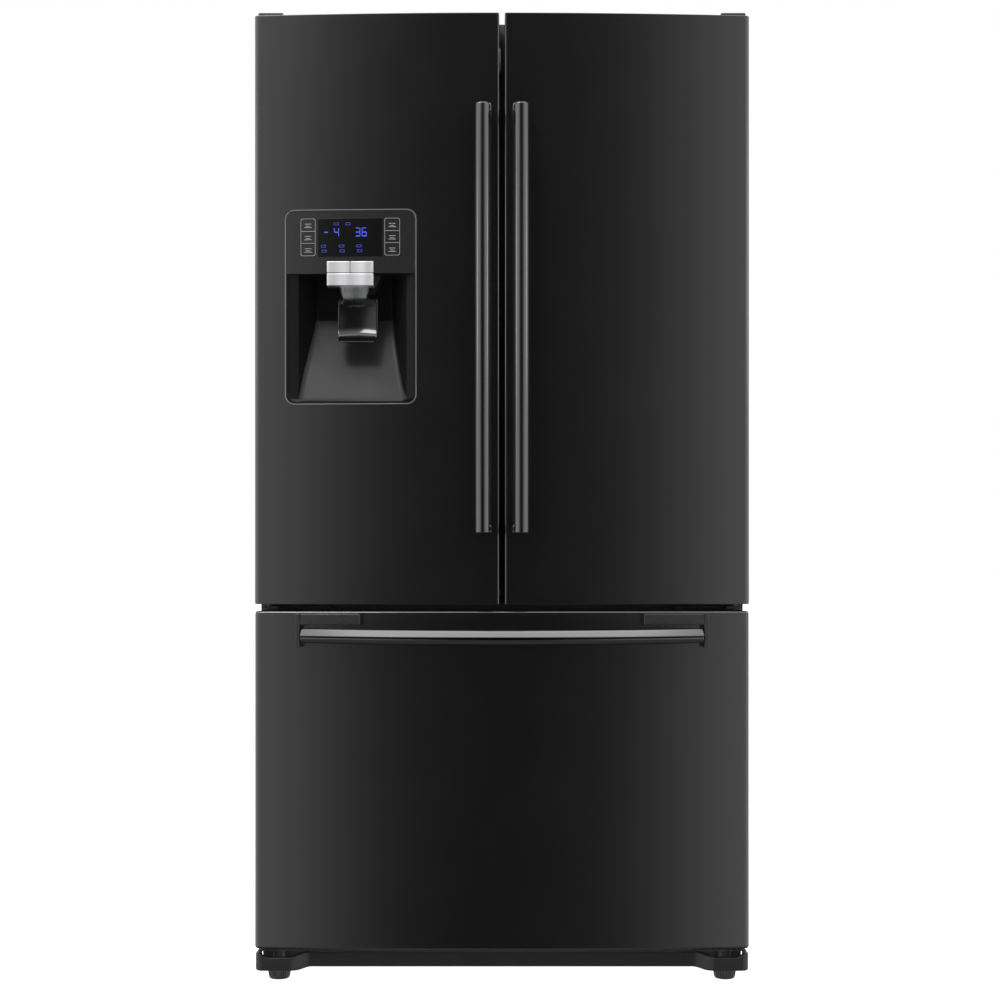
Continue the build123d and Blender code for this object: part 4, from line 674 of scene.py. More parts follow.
# The posts: height, how far they pass the bar's inner edge and stay inside its outer edge, and corner
POST_HEIGHT = 0.016
POST_INNER = 0.0027
POST_OUTER = 0.001
POST_CORNER = 0.004
DRAWER_BAR_END_Y = -0.396
DRAWER_BAR_SAG = 0.0024
SECTION_POINTS = 40
SECTION_SQUARENESS = 2.3
# Section of the drawer handle: a bulging upper half over a groove and a lower half, in half sizes
DRAWER_BAR_SECTION = (
    (1.0, -0.7), (1.0, -0.15), (0.98, 0.02), (0.93, 0.17), (0.72, 0.38), (0.44, 0.65), (0.18, 0.91),
    (0.08, 1.0), (0.0, 0.98), (-0.05, 0.86), (-0.08, 0.62), (-0.14, 0.56), (-0.2, 0.62), (-0.24, 0.78),
    (-0.32, 0.8), (-0.6, 0.66), (-0.84, 0.5), (-0.95, 0.3), (-1.0, -0.1), (-1.0, -0.7), (-0.9, -0.93),
    (-0.7, -1.0), (0.7, -1.0), (0.9, -0.93),
)


def arc_through(start, middle, end, steps):
    """Points and unit tangents along the circular arc through three points."""
    a, b, c = Vector(start), Vector(middle), Vector(end)
    chord = c - a
    half = chord.length / 2
    across = chord.normalized()
    foot = (a + c) / 2
    rise = b - foot
    sagitta = rise.length
    out = rise.normalized()
    radius = (half**2 + sagitta**2) / (2 * sagitta)
    centre = foot - out * (radius - sagitta)
    reach = math.asin(half / radius)
    path = []
    for step in range(steps + 1):
        turn = -reach + 2 * reach * step / steps
        point = centre + radius * (out * math.cos(turn) + across * math.sin(turn))
        tangent = (across * math.cos(turn) - out * math.sin(turn)).normalized()
        path.append((point, tangent))
    return path


def oval_section():
    """Points of a squarish oval in half sizes."""
    power = 2 / SECTION_SQUARENESS
    turns = circle(SECTION_POINTS)
    return [(math.copysign(abs(u) ** power, u), math.copysign(abs(v) ** power, v)) for u, v in turns]


def swept_bar(name, path, flat, section, end_round, material, body, replaces):
    """A bar of one section along a path. flat is the direction of its width."""
    across = Vector(flat)

    def ring(point, tangent, inset):
        deep = tangent.cross(across).normalized()
        wide, thick = BAR_WIDTH / 2 - inset, BAR_DEPTH / 2 - inset
        return [point + across * (u * wide) + deep * (v * thick) for u, v in section]

    rings = [ring(point, tangent, 0.0) for point, tangent in path]
    first_point, first_tangent = path[0]
    last_point, last_tangent = path[-1]
    start, stop = [], []
    for along, inward in quarter(4, first=1):
        inset, back = end_round * inward, end_round * along
        start.append(ring(first_point + first_tangent * back, first_tangent, inset))
        stop.append(ring(last_point - last_tangent * back, last_tangent, inset))
    rings[0] = ring(first_point + first_tangent * end_round, first_tangent, 0.0)
    rings[-1] = ring(last_point - last_tangent * end_round, last_tangent, 0.0)
    verts, faces = skin_rings(list(reversed(start)) + rings + stop)
    add_piece(name, verts, faces, material, body, "handle_metal", replaces)


def make_door_handle(side, word):
    """A bowed vertical bar with a short post at each end."""
    node = f"{word}_door_handle"
    body = f"{word}_door"
    lowest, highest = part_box(node)
    x = side * HANDLE_X
    middle_y = lowest.y + BAR_DEPTH / 2
    end_y = middle_y + HANDLE_BOW
    z0, z1 = lowest.z + BAR_END_GAP, highest.z - BAR_END_GAP
    path = arc_through((x, end_y, z0), (x, middle_y, (z0 + z1) / 2), (x, end_y, z1), DOOR_BAR_STEPS)
    swept_bar(f"{word}_handle_bar", path, (1, 0, 0), oval_section(), 0.003, "handle_metal", body, (node,))
    inner = side * (HANDLE_X - BAR_WIDTH / 2 - POST_INNER)
    outer = side * (HANDLE_X + BAR_WIDTH / 2 - POST_OUTER)
    centre_x, half_u = span(*sorted((inner, outer)))
    surface = front_y(centre_x)
    # Depth of each ring of a post, and how much smaller than the post it is
    steps = (
        (end_y - 0.004, 0.0018), (end_y - 0.0025, 0.0004), (end_y, 0.0), (surface - 0.003, 0.0),
        (surface - 0.0004, -0.0008),
    )
    for place, post_z in (("low", z0), ("high", z1 - POST_HEIGHT)):
        rings = []
        for y, shrink in steps:
            outline = rounded_outline(half_u - shrink, POST_HEIGHT / 2 - shrink, POST_CORNER)
            rings.append([(centre_x + u, y, post_z + POST_HEIGHT / 2 + v) for u, v in outline])
        verts, faces = skin_rings(rings)
        add_piece(f"{word}_handle_post_{place}", verts, faces, "handle_metal", body, "handle_metal")


def make_drawer_handle():
    """A horizontal bar bowed towards the user, between two pivots."""
    lowest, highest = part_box("freezer_handle")
    half = highest.x
    end_z = highest.z - BAR_WIDTH / 2
    middle = (0.0, lowest.y + BAR_DEPTH / 2, end_z - DRAWER_BAR_SAG)
    ends = [(x, DRAWER_BAR_END_Y, end_z) for x in (-half, half)]
    path = arc_through(ends[0], middle, ends[1], DRAWER_BAR_STEPS)
    swept_bar(
        "drawer_handle_bar", path, (0, 0, 1), DRAWER_BAR_SECTION, 0.002, "drawer_handle_metal",
        "lever_handle", ("freezer_handle",),
    )


make_door_handle(-1, "left")
make_door_handle(1, "right")
make_drawer_handle()

# ------------------------------------------------------------------ dispenser
BEZEL_LOW, BEZEL_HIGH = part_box("dispenser_bezel")
DISPLAY_LOW, DISPLAY_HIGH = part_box("dispenser_display")
NOZZLE_LOW = low("dispenser_nozzle")
FASCIA_BOTTOM = 1.3030
FASCIA_INSET = 0.0004
FASCIA_THICKNESS = 0.0034
FASCIA_MARGIN = 0.0025
FASCIA_COLUMNS = 14
NOTCH_GAP = 0.0008
# Longest straight piece of a loop laid on the curved front
LOOP_STEP = 0.03
# Body and slot of the dispenser's fixed plastic pieces
DISPENSER = ("left_door", "black_gloss_plastic")
RECESS_X, BEZEL_HALF_X = span(BEZEL_LOW.x, BEZEL_HIGH.x)
RECESS_Z, BEZEL_HALF_Z = span(BEZEL_LOW.z, BEZEL_HIGH.z)


def face_loop(half_x, half_z, radius, proud, steps=8, centre=(RECESS_X, RECESS_Z)):
    """A rounded rectangle laid on the curved front, proud of it."""
    loop = []
    outline = rounded_outline(half_x, half_z, radius, steps)
    for index, (u, v) in enumerate(outline):
        u2, v2 = outline[(index + 1) % len(outline)]
        pieces = max(1, int(abs(u2 - u) / LOOP_STEP))
        for part in range(pieces):
            share = part / pieces
            x = centre[0] + u + (u2 - u) * share
            z = centre[1] + v + (v2 - v) * share
            loop.append(Vector((x, front_y(x, proud), z)))
    return loop


def make_outline():
    """The pale ring round the dispenser with a dark lip inside it."""
    for name, material, outer, width, proud in (
        ("dispenser_outline", "outline_trim", 0.0, 0.0013, 0.0008),
        ("dispenser_inner_lip", "black_gloss", 0.0013, 0.0019, 0.0003),
    ):
        rings = []
        for inset, height in (
            (outer, -FASCIA_THICKNESS), (outer, proud - 0.0004), (outer + 0.0004, proud),
            (outer + width - 0.0004, proud), (outer + width, proud - 0.0004),
            (outer + width, -FASCIA_THICKNESS),
        ):
            rings.append(face_loop(BEZEL_HALF_X - inset, BEZEL_HALF_Z - inset, BEZEL_RADIUS - inset, height))
        verts, faces = closed_sweep(rings)
        replaces = ("dispenser_bezel",) if material == "outline_trim" else ()
        add_piece(name, verts, faces, material, *DISPENSER, replaces)


def plate_grid(columns, rows, inside, surface):
    """Quads over columns and rows where inside says so. rows(x) gives each row's z at x."""
    verts, faces, index = [], [], {}

    def vertex(column, row):
        key = (column, row)
        if key not in index:
            x = columns[column]
            index[key] = len(verts)
            verts.append((x, surface(x), rows(x)[row]))
        return index[key]

    for column in range(len(columns) - 1):
        middle = (columns[column] + columns[column + 1]) / 2
        for row in range(len(rows(middle)) - 1):
            if inside(middle, row):
                corners = ((column, row), (column + 1, row), (column + 1, row + 1), (column, row + 1))
                faces.append(tuple(vertex(*corner) for corner in corners))
    return verts, faces


def closed_slab(front, faces, back):
    """Faces of a plate between a front and a back surface, with walls round every open edge."""
    count = len(front)
    edges = set()
    for face in faces:
        for start, stop in zip(face, face[1:] + face[:1]):
            if (stop, start) in edges:
                edges.remove((stop, start))
            else:
                edges.add((start, stop))
    behind = [tuple(count + corner for corner in reversed(face)) for face in faces]
    walls = [(stop, start, start + count, stop + count) for start, stop in sorted(edges)]
    return front + back, faces + behind + walls


def make_fascia():
    """The gloss plate above the recess, cut out for the display and the two buttons."""
    left, right = BEZEL_LOW.x + FASCIA_MARGIN, BEZEL_HIGH.x - FASCIA_MARGIN
    top = BEZEL_HIGH.z - FASCIA_MARGIN
    radius = BEZEL_RADIUS - FASCIA_MARGIN
    notch = (NOZZLE_LOW.x - NOTCH_GAP, high("ice_button").x + NOTCH_GAP)
    notch_top = high("ice_button").z + NOTCH_GAP
    columns = {left, right, *notch, DISPLAY_LOW.x, DISPLAY_HIGH.x}
    for _, share in quarter(8):
        columns |= {left + radius * share, right - radius * share}
    columns |= {left + (right - left) * step / FASCIA_COLUMNS for step in range(1, FASCIA_COLUMNS)}
    columns = sorted(columns)
    columns = [x for i, x in enumerate(columns) if i == 0 or x - columns[i - 1] > 1e-5]

    def rows(x):
        reach = max(left + radius - x, x - (right - radius), 0.0)
        crest = top - radius + math.sqrt(max(radius**2 - reach**2, 0.0))
        return (FASCIA_BOTTOM, notch_top, DISPLAY_LOW.z, DISPLAY_HIGH.z, crest)

    def inside(x, row):
        if row == 0 and notch[0] < x < notch[1]:
            return False
        return not (row == 2 and DISPLAY_LOW.x < x < DISPLAY_HIGH.x)

    verts, faces = plate_grid(columns, rows, inside, lambda x: front_y(x, -FASCIA_INSET))
    back = [(x, front_y(x, -FASCIA_THICKNESS), z) for x, _, z in verts]
    verts, faces = closed_slab(verts, faces, back)
    add_piece("dispenser_fascia", verts, faces, "fascia_gloss", *DISPENSER)


def face_slab(name, x0, x1, z0, z1, radius, front, back, edge, material, body, slot, replaces=()):
    """A rounded slab that follows the curved front, between two depths, with its front edge eased."""
    (centre_x, half_x), (centre_z, half_z) = span(x0, x1), span(z0, z1)
    centre = (centre_x, centre_z)
    rings = []
    for inset, proud in ((0.0, back), (0.0, front - edge), (edge * 0.3, front - edge * 0.3), (edge, front)):
        rings.append(face_loop(half_x - inset, half_z - inset, max(radius - inset, 0.0002), proud, 5, centre))
    middle = []
    for point in rings[-1]:
        x = centre_x + (point.x - centre_x) * 0.5
        middle.append((x, front_y(x, front), centre_z + (point.z - centre_z) * 0.5))
    rings.append(middle)
    verts, faces = skin_rings(rings)
    add_piece(name, verts, faces, material, body, slot, replaces)


# Strokes of the seven-part digits: low and high corner of each in a unit cell
SEGMENTS = {
    "top": (0.12, 0.92, 0.88, 1.0),
    "middle": (0.12, 0.44, 0.88, 0.56),
    "bottom": (0.12, 0.0, 0.88, 0.12),
    "upper_left": (0.0, 0.54, 0.14, 0.94),
    "upper_right": (0.86, 0.54, 1.0, 0.94),
    "lower_left": (0.0, 0.06, 0.14, 0.46),
    "lower_right": (0.86, 0.06, 1.0, 0.46),
}
DIGITS = {
    "-": ("middle",),
    "3": ("top", "middle", "bottom", "upper_right", "lower_right"),
    "4": ("middle", "upper_left", "upper_right", "lower_right"),
    "6": ("top", "middle", "bottom", "upper_left", "lower_left", "lower_right"),
}
DIGIT_PROUD = -0.0001
# Height and base of a digit by the pane's height, and its width by its height
DIGIT_HEIGHT = 0.235
DIGIT_BASE = 0.525
DIGIT_ASPECT = 0.56
# Characters of the readout and where each starts by its share of the pane's width
READOUT = (("-", 0.09), ("4", 0.25), ("3", 0.58), ("6", 0.68))
# Small signs by their share of the pane's width and height, and the strokes of one sign
ICONS = (
    *((0.25, 0.83), (0.43, 0.83), (0.05, 0.25), (0.06, 0.12)),
    *((0.33, 0.25), (0.34, 0.12), (0.60, 0.25), (0.61, 0.12)),
)
GLYPH = (
    *((0.0, 0.0, 0.0090, 0.0006), (0.0, 0.0038, 0.0090, 0.0006)),
    *((0.0, 0.0, 0.0006, 0.0044), (0.0084, 0.0, 0.0006, 0.0044)),
)
# The two columns of touch keys, left and right edge, and the width of their printed frame
KEY_PANELS = (("left", -0.3685, -0.3415), ("right", -0.2145, -0.1865))
KEY_LINE = 0.0006
# The keys' middles and the lines between them by their share of the frame's height
KEY_ROWS = (0.17, 0.50, 0.83)
KEY_DIVIDERS = (0.34, 0.66)
DIVIDER_HALF = 0.00035
LABEL_HEIGHT = 0.0009
# Lines of a key's label: start beside and above the key's centre, and length
KEY_LABEL = ((-0.0060, 0.0012, 0.0120), (-0.0040, -0.0026, 0.0080), (-0.0070, -0.0050, 0.0140))


def make_readout():
    """The lit temperatures and small signs behind the display glass."""
    width = DISPLAY_HIGH.x - DISPLAY_LOW.x
    height = DISPLAY_HIGH.z - DISPLAY_LOW.z
    verts, faces = [], []

    def bar(x0, z0, x1, z1):
        start = len(verts)
        for proud in (DIGIT_PROUD - 0.0003, DIGIT_PROUD):
            for x, z in ((x0, z0), (x1, z0), (x1, z1), (x0, z1)):
                verts.append((x, front_y(x, proud), z))
        for quad in ((0, 1, 2, 3), (4, 5, 6, 7), (0, 1, 5, 4), (1, 2, 6, 5), (2, 3, 7, 6), (3, 0, 4, 7)):
            faces.append(tuple(start + corner for corner in quad))

    tall = height * DIGIT_HEIGHT
    wide = tall * DIGIT_ASPECT
    base = DISPLAY_LOW.z + height * DIGIT_BASE
    for character, along in READOUT:
        x = DISPLAY_LOW.x + width * along
        for part in DIGITS[character]:
            u0, v0, u1, v1 = SEGMENTS[part]
            bar(x + u0 * wide, base + v0 * tall, x + u1 * wide, base + v1 * tall)
    add_piece("display_readout", verts, faces, "display_blue", "left_door", "display_glass", weighted=False)
    verts, faces = [], []
    for along, up in ICONS:
        for du, dv, wide, tall in GLYPH:
            x = DISPLAY_LOW.x + width * along + du
            z = DISPLAY_LOW.z + height * up + dv
            bar(x, z, x + wide, z + tall)
    add_piece("display_icons", verts, faces, "display_dim", "left_door", "display_glass", weighted=False)


def make_display():
    """The dark glass pane of the display."""
    sides = (DISPLAY_LOW.x, DISPLAY_HIGH.x, DISPLAY_LOW.z, DISPLAY_HIGH.z)
    look = ("display_glass", "left_door", "display_glass", ("dispenser_display",))
    face_slab("display_pane", *sides, 0.0015, -0.0003, -0.0018, 0.0003, *look)


def printed_mark(name, x0, x1, z0, z1):
    """A thin printed stroke on the fascia."""
    depths = (-0.0001, -FASCIA_INSET - 0.0002)
    face_slab(name, x0, x1, z0, z1, 0.0002, *depths, 0.0001, "panel_print", *DISPENSER)


def make_touch_outlines():
    """Thin printed frames and labels of the touch keys on both sides of the display."""
    z0, z1 = DISPLAY_LOW.z + 0.002, DISPLAY_HIGH.z + 0.0005
    for word, x0, x1 in KEY_PANELS:
        (centre_x, half_x), (centre_z, half_z) = span(x0, x1), span(z0, z1)
        rings = []
        for inset, proud in (
            (0.0, -FASCIA_INSET - 0.0003), (0.0, -0.0001), (KEY_LINE, -0.0001),
            (KEY_LINE, -FASCIA_INSET - 0.0003),
        ):
            rings.append(face_loop(half_x - inset, half_z - inset, 0.004, proud, 4, (centre_x, centre_z)))
        verts, faces = closed_sweep(rings)
        add_piece(f"touch_frame_{word}", verts, faces, "panel_print", *DISPENSER)
        for key, share in enumerate(KEY_ROWS):
            for line, (du, dv, wide) in enumerate(KEY_LABEL):
                x, z = centre_x + du, z0 + (z1 - z0) * share + dv
                printed_mark(f"key_label_{word}_{key}_{line}", x, x + wide, z, z + LABEL_HEIGHT)
        for line, share in enumerate(KEY_DIVIDERS):
            z = z0 + (z1 - z0) * share
            ends = (x0 + KEY_LINE, x1 - KEY_LINE)
            printed_mark(f"touch_line_{word}_{line}", *ends, z - DIVIDER_HALF, z + DIVIDER_HALF)


# Depth, left, right, bottom and corner radius of the recess at each step inward
RECESS_STEPS = (
    (-0.3785, -0.3935, -0.1600, 1.0672, 0.0150), (-0.3745, -0.3905, -0.1640, 1.0690, 0.0140),
    (-0.3690, -0.3735, -0.1740, 1.0705, 0.0100), (-0.3640, -0.3725, -0.1780, 1.0790, 0.0090),
    (-0.3560, -0.3705, -0.1830, 1.0950, 0.0080), (-0.3420, -0.3660, -0.1890, 1.1260, 0.0080),
    (-0.3250, -0.3590, -0.1950, 1.1640, 0.0080), (-0.3080, -0.3520, -0.2010, 1.2020, 0.0070),
    (-0.2960, -0.3480, -0.2050, 1.2290, 0.0060), (-0.2925, -0.3460, -0.2070, 1.2700, 0.0050),
)
RECESS_TOP = FASCIA_BOTTOM - 0.0001
RECESS_WALL = 0.002
# How far the front has already bowed back at the recess, and the depth over which its rim follows it
BOW_AT_RECESS = 0.0064
BOW_FROM = -0.34
BOW_DEPTH = 0.04
# The ramp is every face of the recess that tilts more than this, low down and behind this depth. It takes a
# lighter copy of the recess plastic, painted light, and the side walls a darker, barely shiny copy, painted
# shade
RAMP_TILT = 0.25
RAMP_FRONT = -0.3700


def make_recess():
    """The moulded hollow: side walls that close in quickly and a long ramp for its floor."""
    rings = []
    for y, left, right, bottom, radius in RECESS_STEPS:
        (centre_x, half_x), (centre_z, half_z) = span(left, right), span(bottom, RECESS_TOP)
        ring = []
        for u, v in rounded_outline(half_x, half_z, radius, 5):
            if v > 0:
                u, v = math.copysign(half_x, u), half_z - (half_z - v) * 0.05
            x = centre_x + u
            bow = front_y(x) - FRONT_CENTRE - BOW_AT_RECESS
            share = max(0.0, (BOW_FROM - y) / BOW_DEPTH)
            ring.append((x, y + bow * share, centre_z + v))
        rings.append(ring)
    verts, faces = skin_rings(rings, caps=False)
    faces.append(tuple(range(len(verts) - len(rings[0]), len(verts))))
    piece = add_piece("dispenser_recess", verts, faces, "recess_shaded_gloss", *DISPENSER, ("dispenser_housing",))
    # The up-facing ramp faces get the lighter copy of the plastic, painted light; the walls keep the darker
    # copy, painted shade
    piece.data.materials.append(MATERIALS["ramp_lit_gloss"])
    for polygon in piece.data.polygons:
        centre = polygon.center
        if abs(polygon.normal.z) > RAMP_TILT and centre.z < RECESS_Z and centre.y > RAMP_FRONT:
            polygon.material_index = 1
    sharpen_rim(piece.data)
    thicken(piece, "wall", RECESS_WALL, 1.0)
    piece.modifiers.move(1, 0)


def block_piece(name, corner_low, corner_high, edge, material, body, slot, replaces=()):
    """A block with rounded edges between two corners."""
    x0, y0, z0 = corner_low
    x1, y1, z1 = corner_high
    verts = [(x, y, z) for z in (z0, z1) for y in (y0, y1) for x in (x0, x1)]
    faces = [(0, 1, 3, 2), (4, 5, 7, 6), (0, 1, 5, 4), (2, 3, 7, 6), (0, 2, 6, 4), (1, 3, 7, 5)]
    bevel(add_piece(name, verts, faces, material, body, slot, replaces), edge, 3)


def ellipse_ring(centre, radius_x, radius_y, z, steps):
    """Points of a level ellipse."""
    return [(centre[0] + radius_x * u, centre[1] + radius_y * v, z) for u, v in circle(steps)]


BLOCK_BOTTOM = 1.280
BLOCK_TOP = 1.303
BLOCK_DEPTH = 0.022
# Centre of the chute and of the funnel, and the height and half sizes of each of their rings
CHUTE_CENTRE = (-0.270, -0.361)
CHUTE_RINGS = (
    (1.281, 0.0310, 0.0180), (1.275, 0.0306, 0.0176), (1.262, 0.0268, 0.0146), (1.2595, 0.0262, 0.0142),
    (1.2590, 0.0250, 0.0132), (1.2600, 0.0240, 0.0122), (1.2750, 0.0280, 0.0150), (1.281, 0.0284, 0.0156),
)
FUNNEL_CENTRE = (-0.262, -0.341)
FUNNEL_RINGS = (
    (1.3090, 0.0435, 0.0200), (1.2996, 0.0430, 0.0200), (1.2700, 0.0265, 0.0125), (1.2685, 0.0250, 0.0115),
)


def make_nozzle():
    """Brushed block and buttons, the dark funnel behind them and the clear chute."""
    front = NOZZLE_LOW.y
    corners = ((NOZZLE_LOW.x, front, BLOCK_BOTTOM), (high("ice_button").x, front + BLOCK_DEPTH, BLOCK_TOP))
    look = ("brushed_block", "left_door", "brushed_button_metal", ("dispenser_nozzle",))
    block_piece("nozzle_block", *corners, 0.0016, *look)
    for node, body in (("water_button", "water_key"), ("ice_button", "ice_key")):
        look = ("brushed_block", body, "brushed_button_metal", (node,))
        block_piece(node + "_cap", *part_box(node), 0.0014, *look)
    verts, faces = closed_sweep([ellipse_ring(CHUTE_CENTRE, rx, ry, z, 40) for z, rx, ry in CHUTE_RINGS])
    add_piece("chute_cone", verts, faces, "clear_chute", *DISPENSER)
    verts, faces = skin_rings([ellipse_ring(FUNNEL_CENTRE, rx, ry, z, 12) for z, rx, ry in FUNNEL_RINGS])
    # The funnel takes the darker copy of the recess plastic, painted shade
    add_piece("chute_funnel", verts, faces, "recess_shaded_gloss", *DISPENSER)


# Paddle's centre line from the pivot down to its turned lip: depth and height
PADDLE_LINE = (
    (-0.3400, 1.2640), (-0.3425, 1.2570), (-0.3445, 1.2470), (-0.3460, 1.2360), (-0.3475, 1.2240),
    (-0.3495, 1.2110), (-0.3525, 1.1990), (-0.3565, 1.1900), (-0.3630, 1.1825), (-0.3700, 1.1785),
)
PADDLE_THICKNESS = 0.0034
PADDLE_COLUMNS = 16
PADDLE_DISH = 0.0035
# How much the paddle narrows, and the shares of its length where this starts and over which it grows
PADDLE_NARROWING = (0.006, 0.7, 0.3)
# Depth and height of the ears' axis, and their rings: distance in from the paddle's edge and radius
EAR_CENTRE = (-0.332, 1.256)
EAR_RINGS = ((0.010, 0.0030), (0.0095, 0.0058), (0.0008, 0.0060), (0.0, 0.0052))


def make_paddle():
    """The push paddle with a dished face, rounded lower corners and two pivot ears."""
    lowest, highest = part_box("dispenser_paddle")
    centre, half = span(lowest.x, highest.x)
    columns = PADDLE_COLUMNS
    most, start, reach = PADDLE_NARROWING
    verts, faces = [], []
    for row, (y, z) in enumerate(PADDLE_LINE):
        share = row / (len(PADDLE_LINE) - 1)
        narrowing = most * (max(0.0, share - start) / reach) ** 2
        for column in range(columns + 1):
            u = -1 + 2 * column / columns
            dish = PADDLE_DISH * (1 - u**2) * math.sin(math.pi * share)
            verts.append((centre + u * (half - narrowing), y + dish, z))
    for row in range(len(PADDLE_LINE) - 1):
        for column in range(columns):
            first = row * (columns + 1) + column
            faces.append((first, first + 1, first + columns + 2, first + columns + 1))
    piece = add_piece(
        "paddle_plate", verts, faces, "paddle_gloss", "paddle", "black_gloss_plastic", ("dispenser_paddle",),
        weighted=False,
    )
    thicken(piece, "sheet", PADDLE_THICKNESS, 0.0)
    smooth = piece.modifiers.new("smooth", "SUBSURF")
    smooth.levels = 2
    smooth.render_levels = 2
    for side, word in ((-1, "left"), (1, "right")):
        rings = []
        for inset, radius in EAR_RINGS:
            x = centre + side * (half - inset)
            rings.append([(x, EAR_CENTRE[0] + radius * u, EAR_CENTRE[1] + radius * v) for u, v in circle(20)])
        verts, faces = skin_rings(rings)
        add_piece(f"paddle_ear_{word}", verts, faces, "paddle_gloss", "paddle", "black_gloss_plastic")


make_outline()
make_fascia()
make_display()
make_readout()
make_touch_outlines()
make_recess()
make_nozzle()
make_paddle()

# ------------------------------------------------------------------ drawer handle brackets
BRACKET_INNER = 0.258
BRACKET_OUTER = 0.376
BRACKET_WALL = 0.008
BRACKET_LOW, BRACKET_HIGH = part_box("handle_brackets")
HOOD_BOTTOM = 0.661
# How far each block stands proud of the front at its lower and upper edge
HOOD_PROUD = (0.0235, 0.0215)
CHEEK_PROUD = (0.0260, 0.0240)
BLOCK_COLUMNS = 8


def curved_block(name, across, z0, z1, proud, edge, replaces=()):
    """A block on the curved front whose outer face leans from one depth to another."""
    x0, x1 = sorted(across)
    rings = []
    for step in range(BLOCK_COLUMNS + 1):
        x = x0 + (x1 - x0) * step / BLOCK_COLUMNS
        near = front_y(x)
        section = ((near - 0.0001, z0), (near - proud[0], z0), (near - proud[1], z1), (near - 0.0001, z1))
        rings.append([(x, y, z) for y, z in section])
    verts, faces = skin_rings(rings)
    piece = add_piece(name, verts, faces, "bracket_gloss", "freezer_drawer", "black_trim_plastic", replaces)
    bevel(piece, edge, 4)


def make_brackets():
    """The hood and outer cheek at each end of the drawer handle."""
    bottom, top = BRACKET_LOW.z, BRACKET_HIGH.z
    for side, word in ((-1, "left"), (1, "right")):
        inner, wall, outer = (side * x for x in (BRACKET_INNER, BRACKET_OUTER - BRACKET_WALL, BRACKET_OUTER))
        node = ("handle_brackets",) if side < 0 else ()
        curved_block(f"bracket_hood_{word}", (inner, wall), HOOD_BOTTOM, top, HOOD_PROUD, 0.0015, node)
        curved_block(f"bracket_cheek_{word}", (wall, outer), bottom, top, CHEEK_PROUD, 0.0025)


make_brackets()

# ------------------------------------------------------------------ kick moulding and feet
KICK_LOW, KICK_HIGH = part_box("kick_moulding")
BOSS_CORNER = 0.013
BOSS_FLAT_END = 0.394
KICK_HALF = 0.352
KICK_FRONT = -0.350
KICK_BOTTOM = 0.029
BOSS_TOP = 0.049
SLOPE = 0.026
# Reach from the middle where the boss's dip starts and ends, and the length of its two slopes
BOSS_START = KICK_HALF + 0.006
BOSS_MIDDLE = 0.420
BOSS_END = 0.450
BOSS_INNER_SLOPE = 0.034
BOSS_OUTER_SLOPE = 0.016
BOSS_STEPS = 5
BEND_STEPS = 10
MIDDLE_STEPS = 12
KICK_EDGE = 0.0028
KICK_WALL = 0.003
KICK_LEDGE = 0.011
LEDGE_THICKNESS = 0.0015


def smooth_step(value):
    """Ease from 0 to 1."""
    value = min(max(value, 0.0), 1.0)
    return value * value * (3 - 2 * value)


def kick_plan():
    """Plan points and outward normals from the left end's back to the middle."""
    boss_front, left = KICK_LOW.y, KICK_LOW.x
    plan = [((left, KICK_HIGH.y), (-1.0, 0.0))]
    for step in range(CORNER_STEPS + 1):
        turn = math.radians(180 + 90 * step / CORNER_STEPS)
        normal = (math.cos(turn), math.sin(turn))
        x, y = (start + BOSS_CORNER + BOSS_CORNER * part for start, part in zip((left, boss_front), normal))
        plan.append(((x, y), normal))
    for step in range(1, BOSS_STEPS):
        x = left + BOSS_CORNER + (-BOSS_FLAT_END - left - BOSS_CORNER) * step / BOSS_STEPS
        plan.append(((x, boss_front), (0.0, -1.0)))
    for step in range(BEND_STEPS + 1):
        share = step / BEND_STEPS
        x = -BOSS_FLAT_END + (BOSS_FLAT_END - KICK_HALF) * share
        y = boss_front + (KICK_FRONT - boss_front) * smooth_step(share)
        slope = (KICK_FRONT - boss_front) * 6 * share * (1 - share) / (BOSS_FLAT_END - KICK_HALF)
        length = math.hypot(1, slope)
        plan.append(((x, y), (slope / length, -1 / length)))
    for step in range(1, MIDDLE_STEPS + 1):
        plan.append(((-KICK_HALF * (1 - step / MIDDLE_STEPS), KICK_FRONT), (0.0, -1.0)))
    return plan


def kick_levels(x):
    """Lowest and highest z of the moulding at x."""
    reach = abs(x)
    bottom = KICK_LOW.z + (KICK_BOTTOM - KICK_LOW.z) * smooth_step((KICK_HALF + SLOPE - reach) / SLOPE)
    if reach > BOSS_MIDDLE:
        share = smooth_step((BOSS_END - reach) / BOSS_OUTER_SLOPE)
    else:
        share = smooth_step((reach - BOSS_START) / BOSS_INNER_SLOPE)
    return bottom, KICK_HIGH.z - (KICK_HIGH.z - BOSS_TOP) * share


def make_kick():
    """The long moulding at the bottom with a bulging boss round each foot."""
    half = kick_plan()
    plan = half + [((-x, y), (-nx, ny)) for (x, y), (nx, ny) in reversed(half[:-1])]
    rings = []
    for (x, y), (nx, ny) in plan:
        bottom, top = kick_levels(x)
        depth = KICK_LEDGE if abs(x) > KICK_HALF else KICK_WALL
        # Each point of the section: distance in from the outer face, and height
        section = [(KICK_WALL, bottom)]
        section += [(KICK_EDGE * inward, bottom + KICK_EDGE * up) for inward, up in quarter(4)]
        section += [(KICK_EDGE * inward, top - KICK_EDGE * down) for down, inward in quarter(4)]
        section += [(depth, top), (depth, top - LEDGE_THICKNESS), (KICK_WALL, top - LEDGE_THICKNESS)]
        rings.append([(x - nx * inset, y - ny * inset, z) for inset, z in section])
    verts, faces = skin_rings(rings)
    look = ("kick_plastic", "cabinet", "black_trim_plastic", ("kick_moulding",))
    add_piece("kick_cover", verts, faces, *look, weighted=False)


RIBS = 28
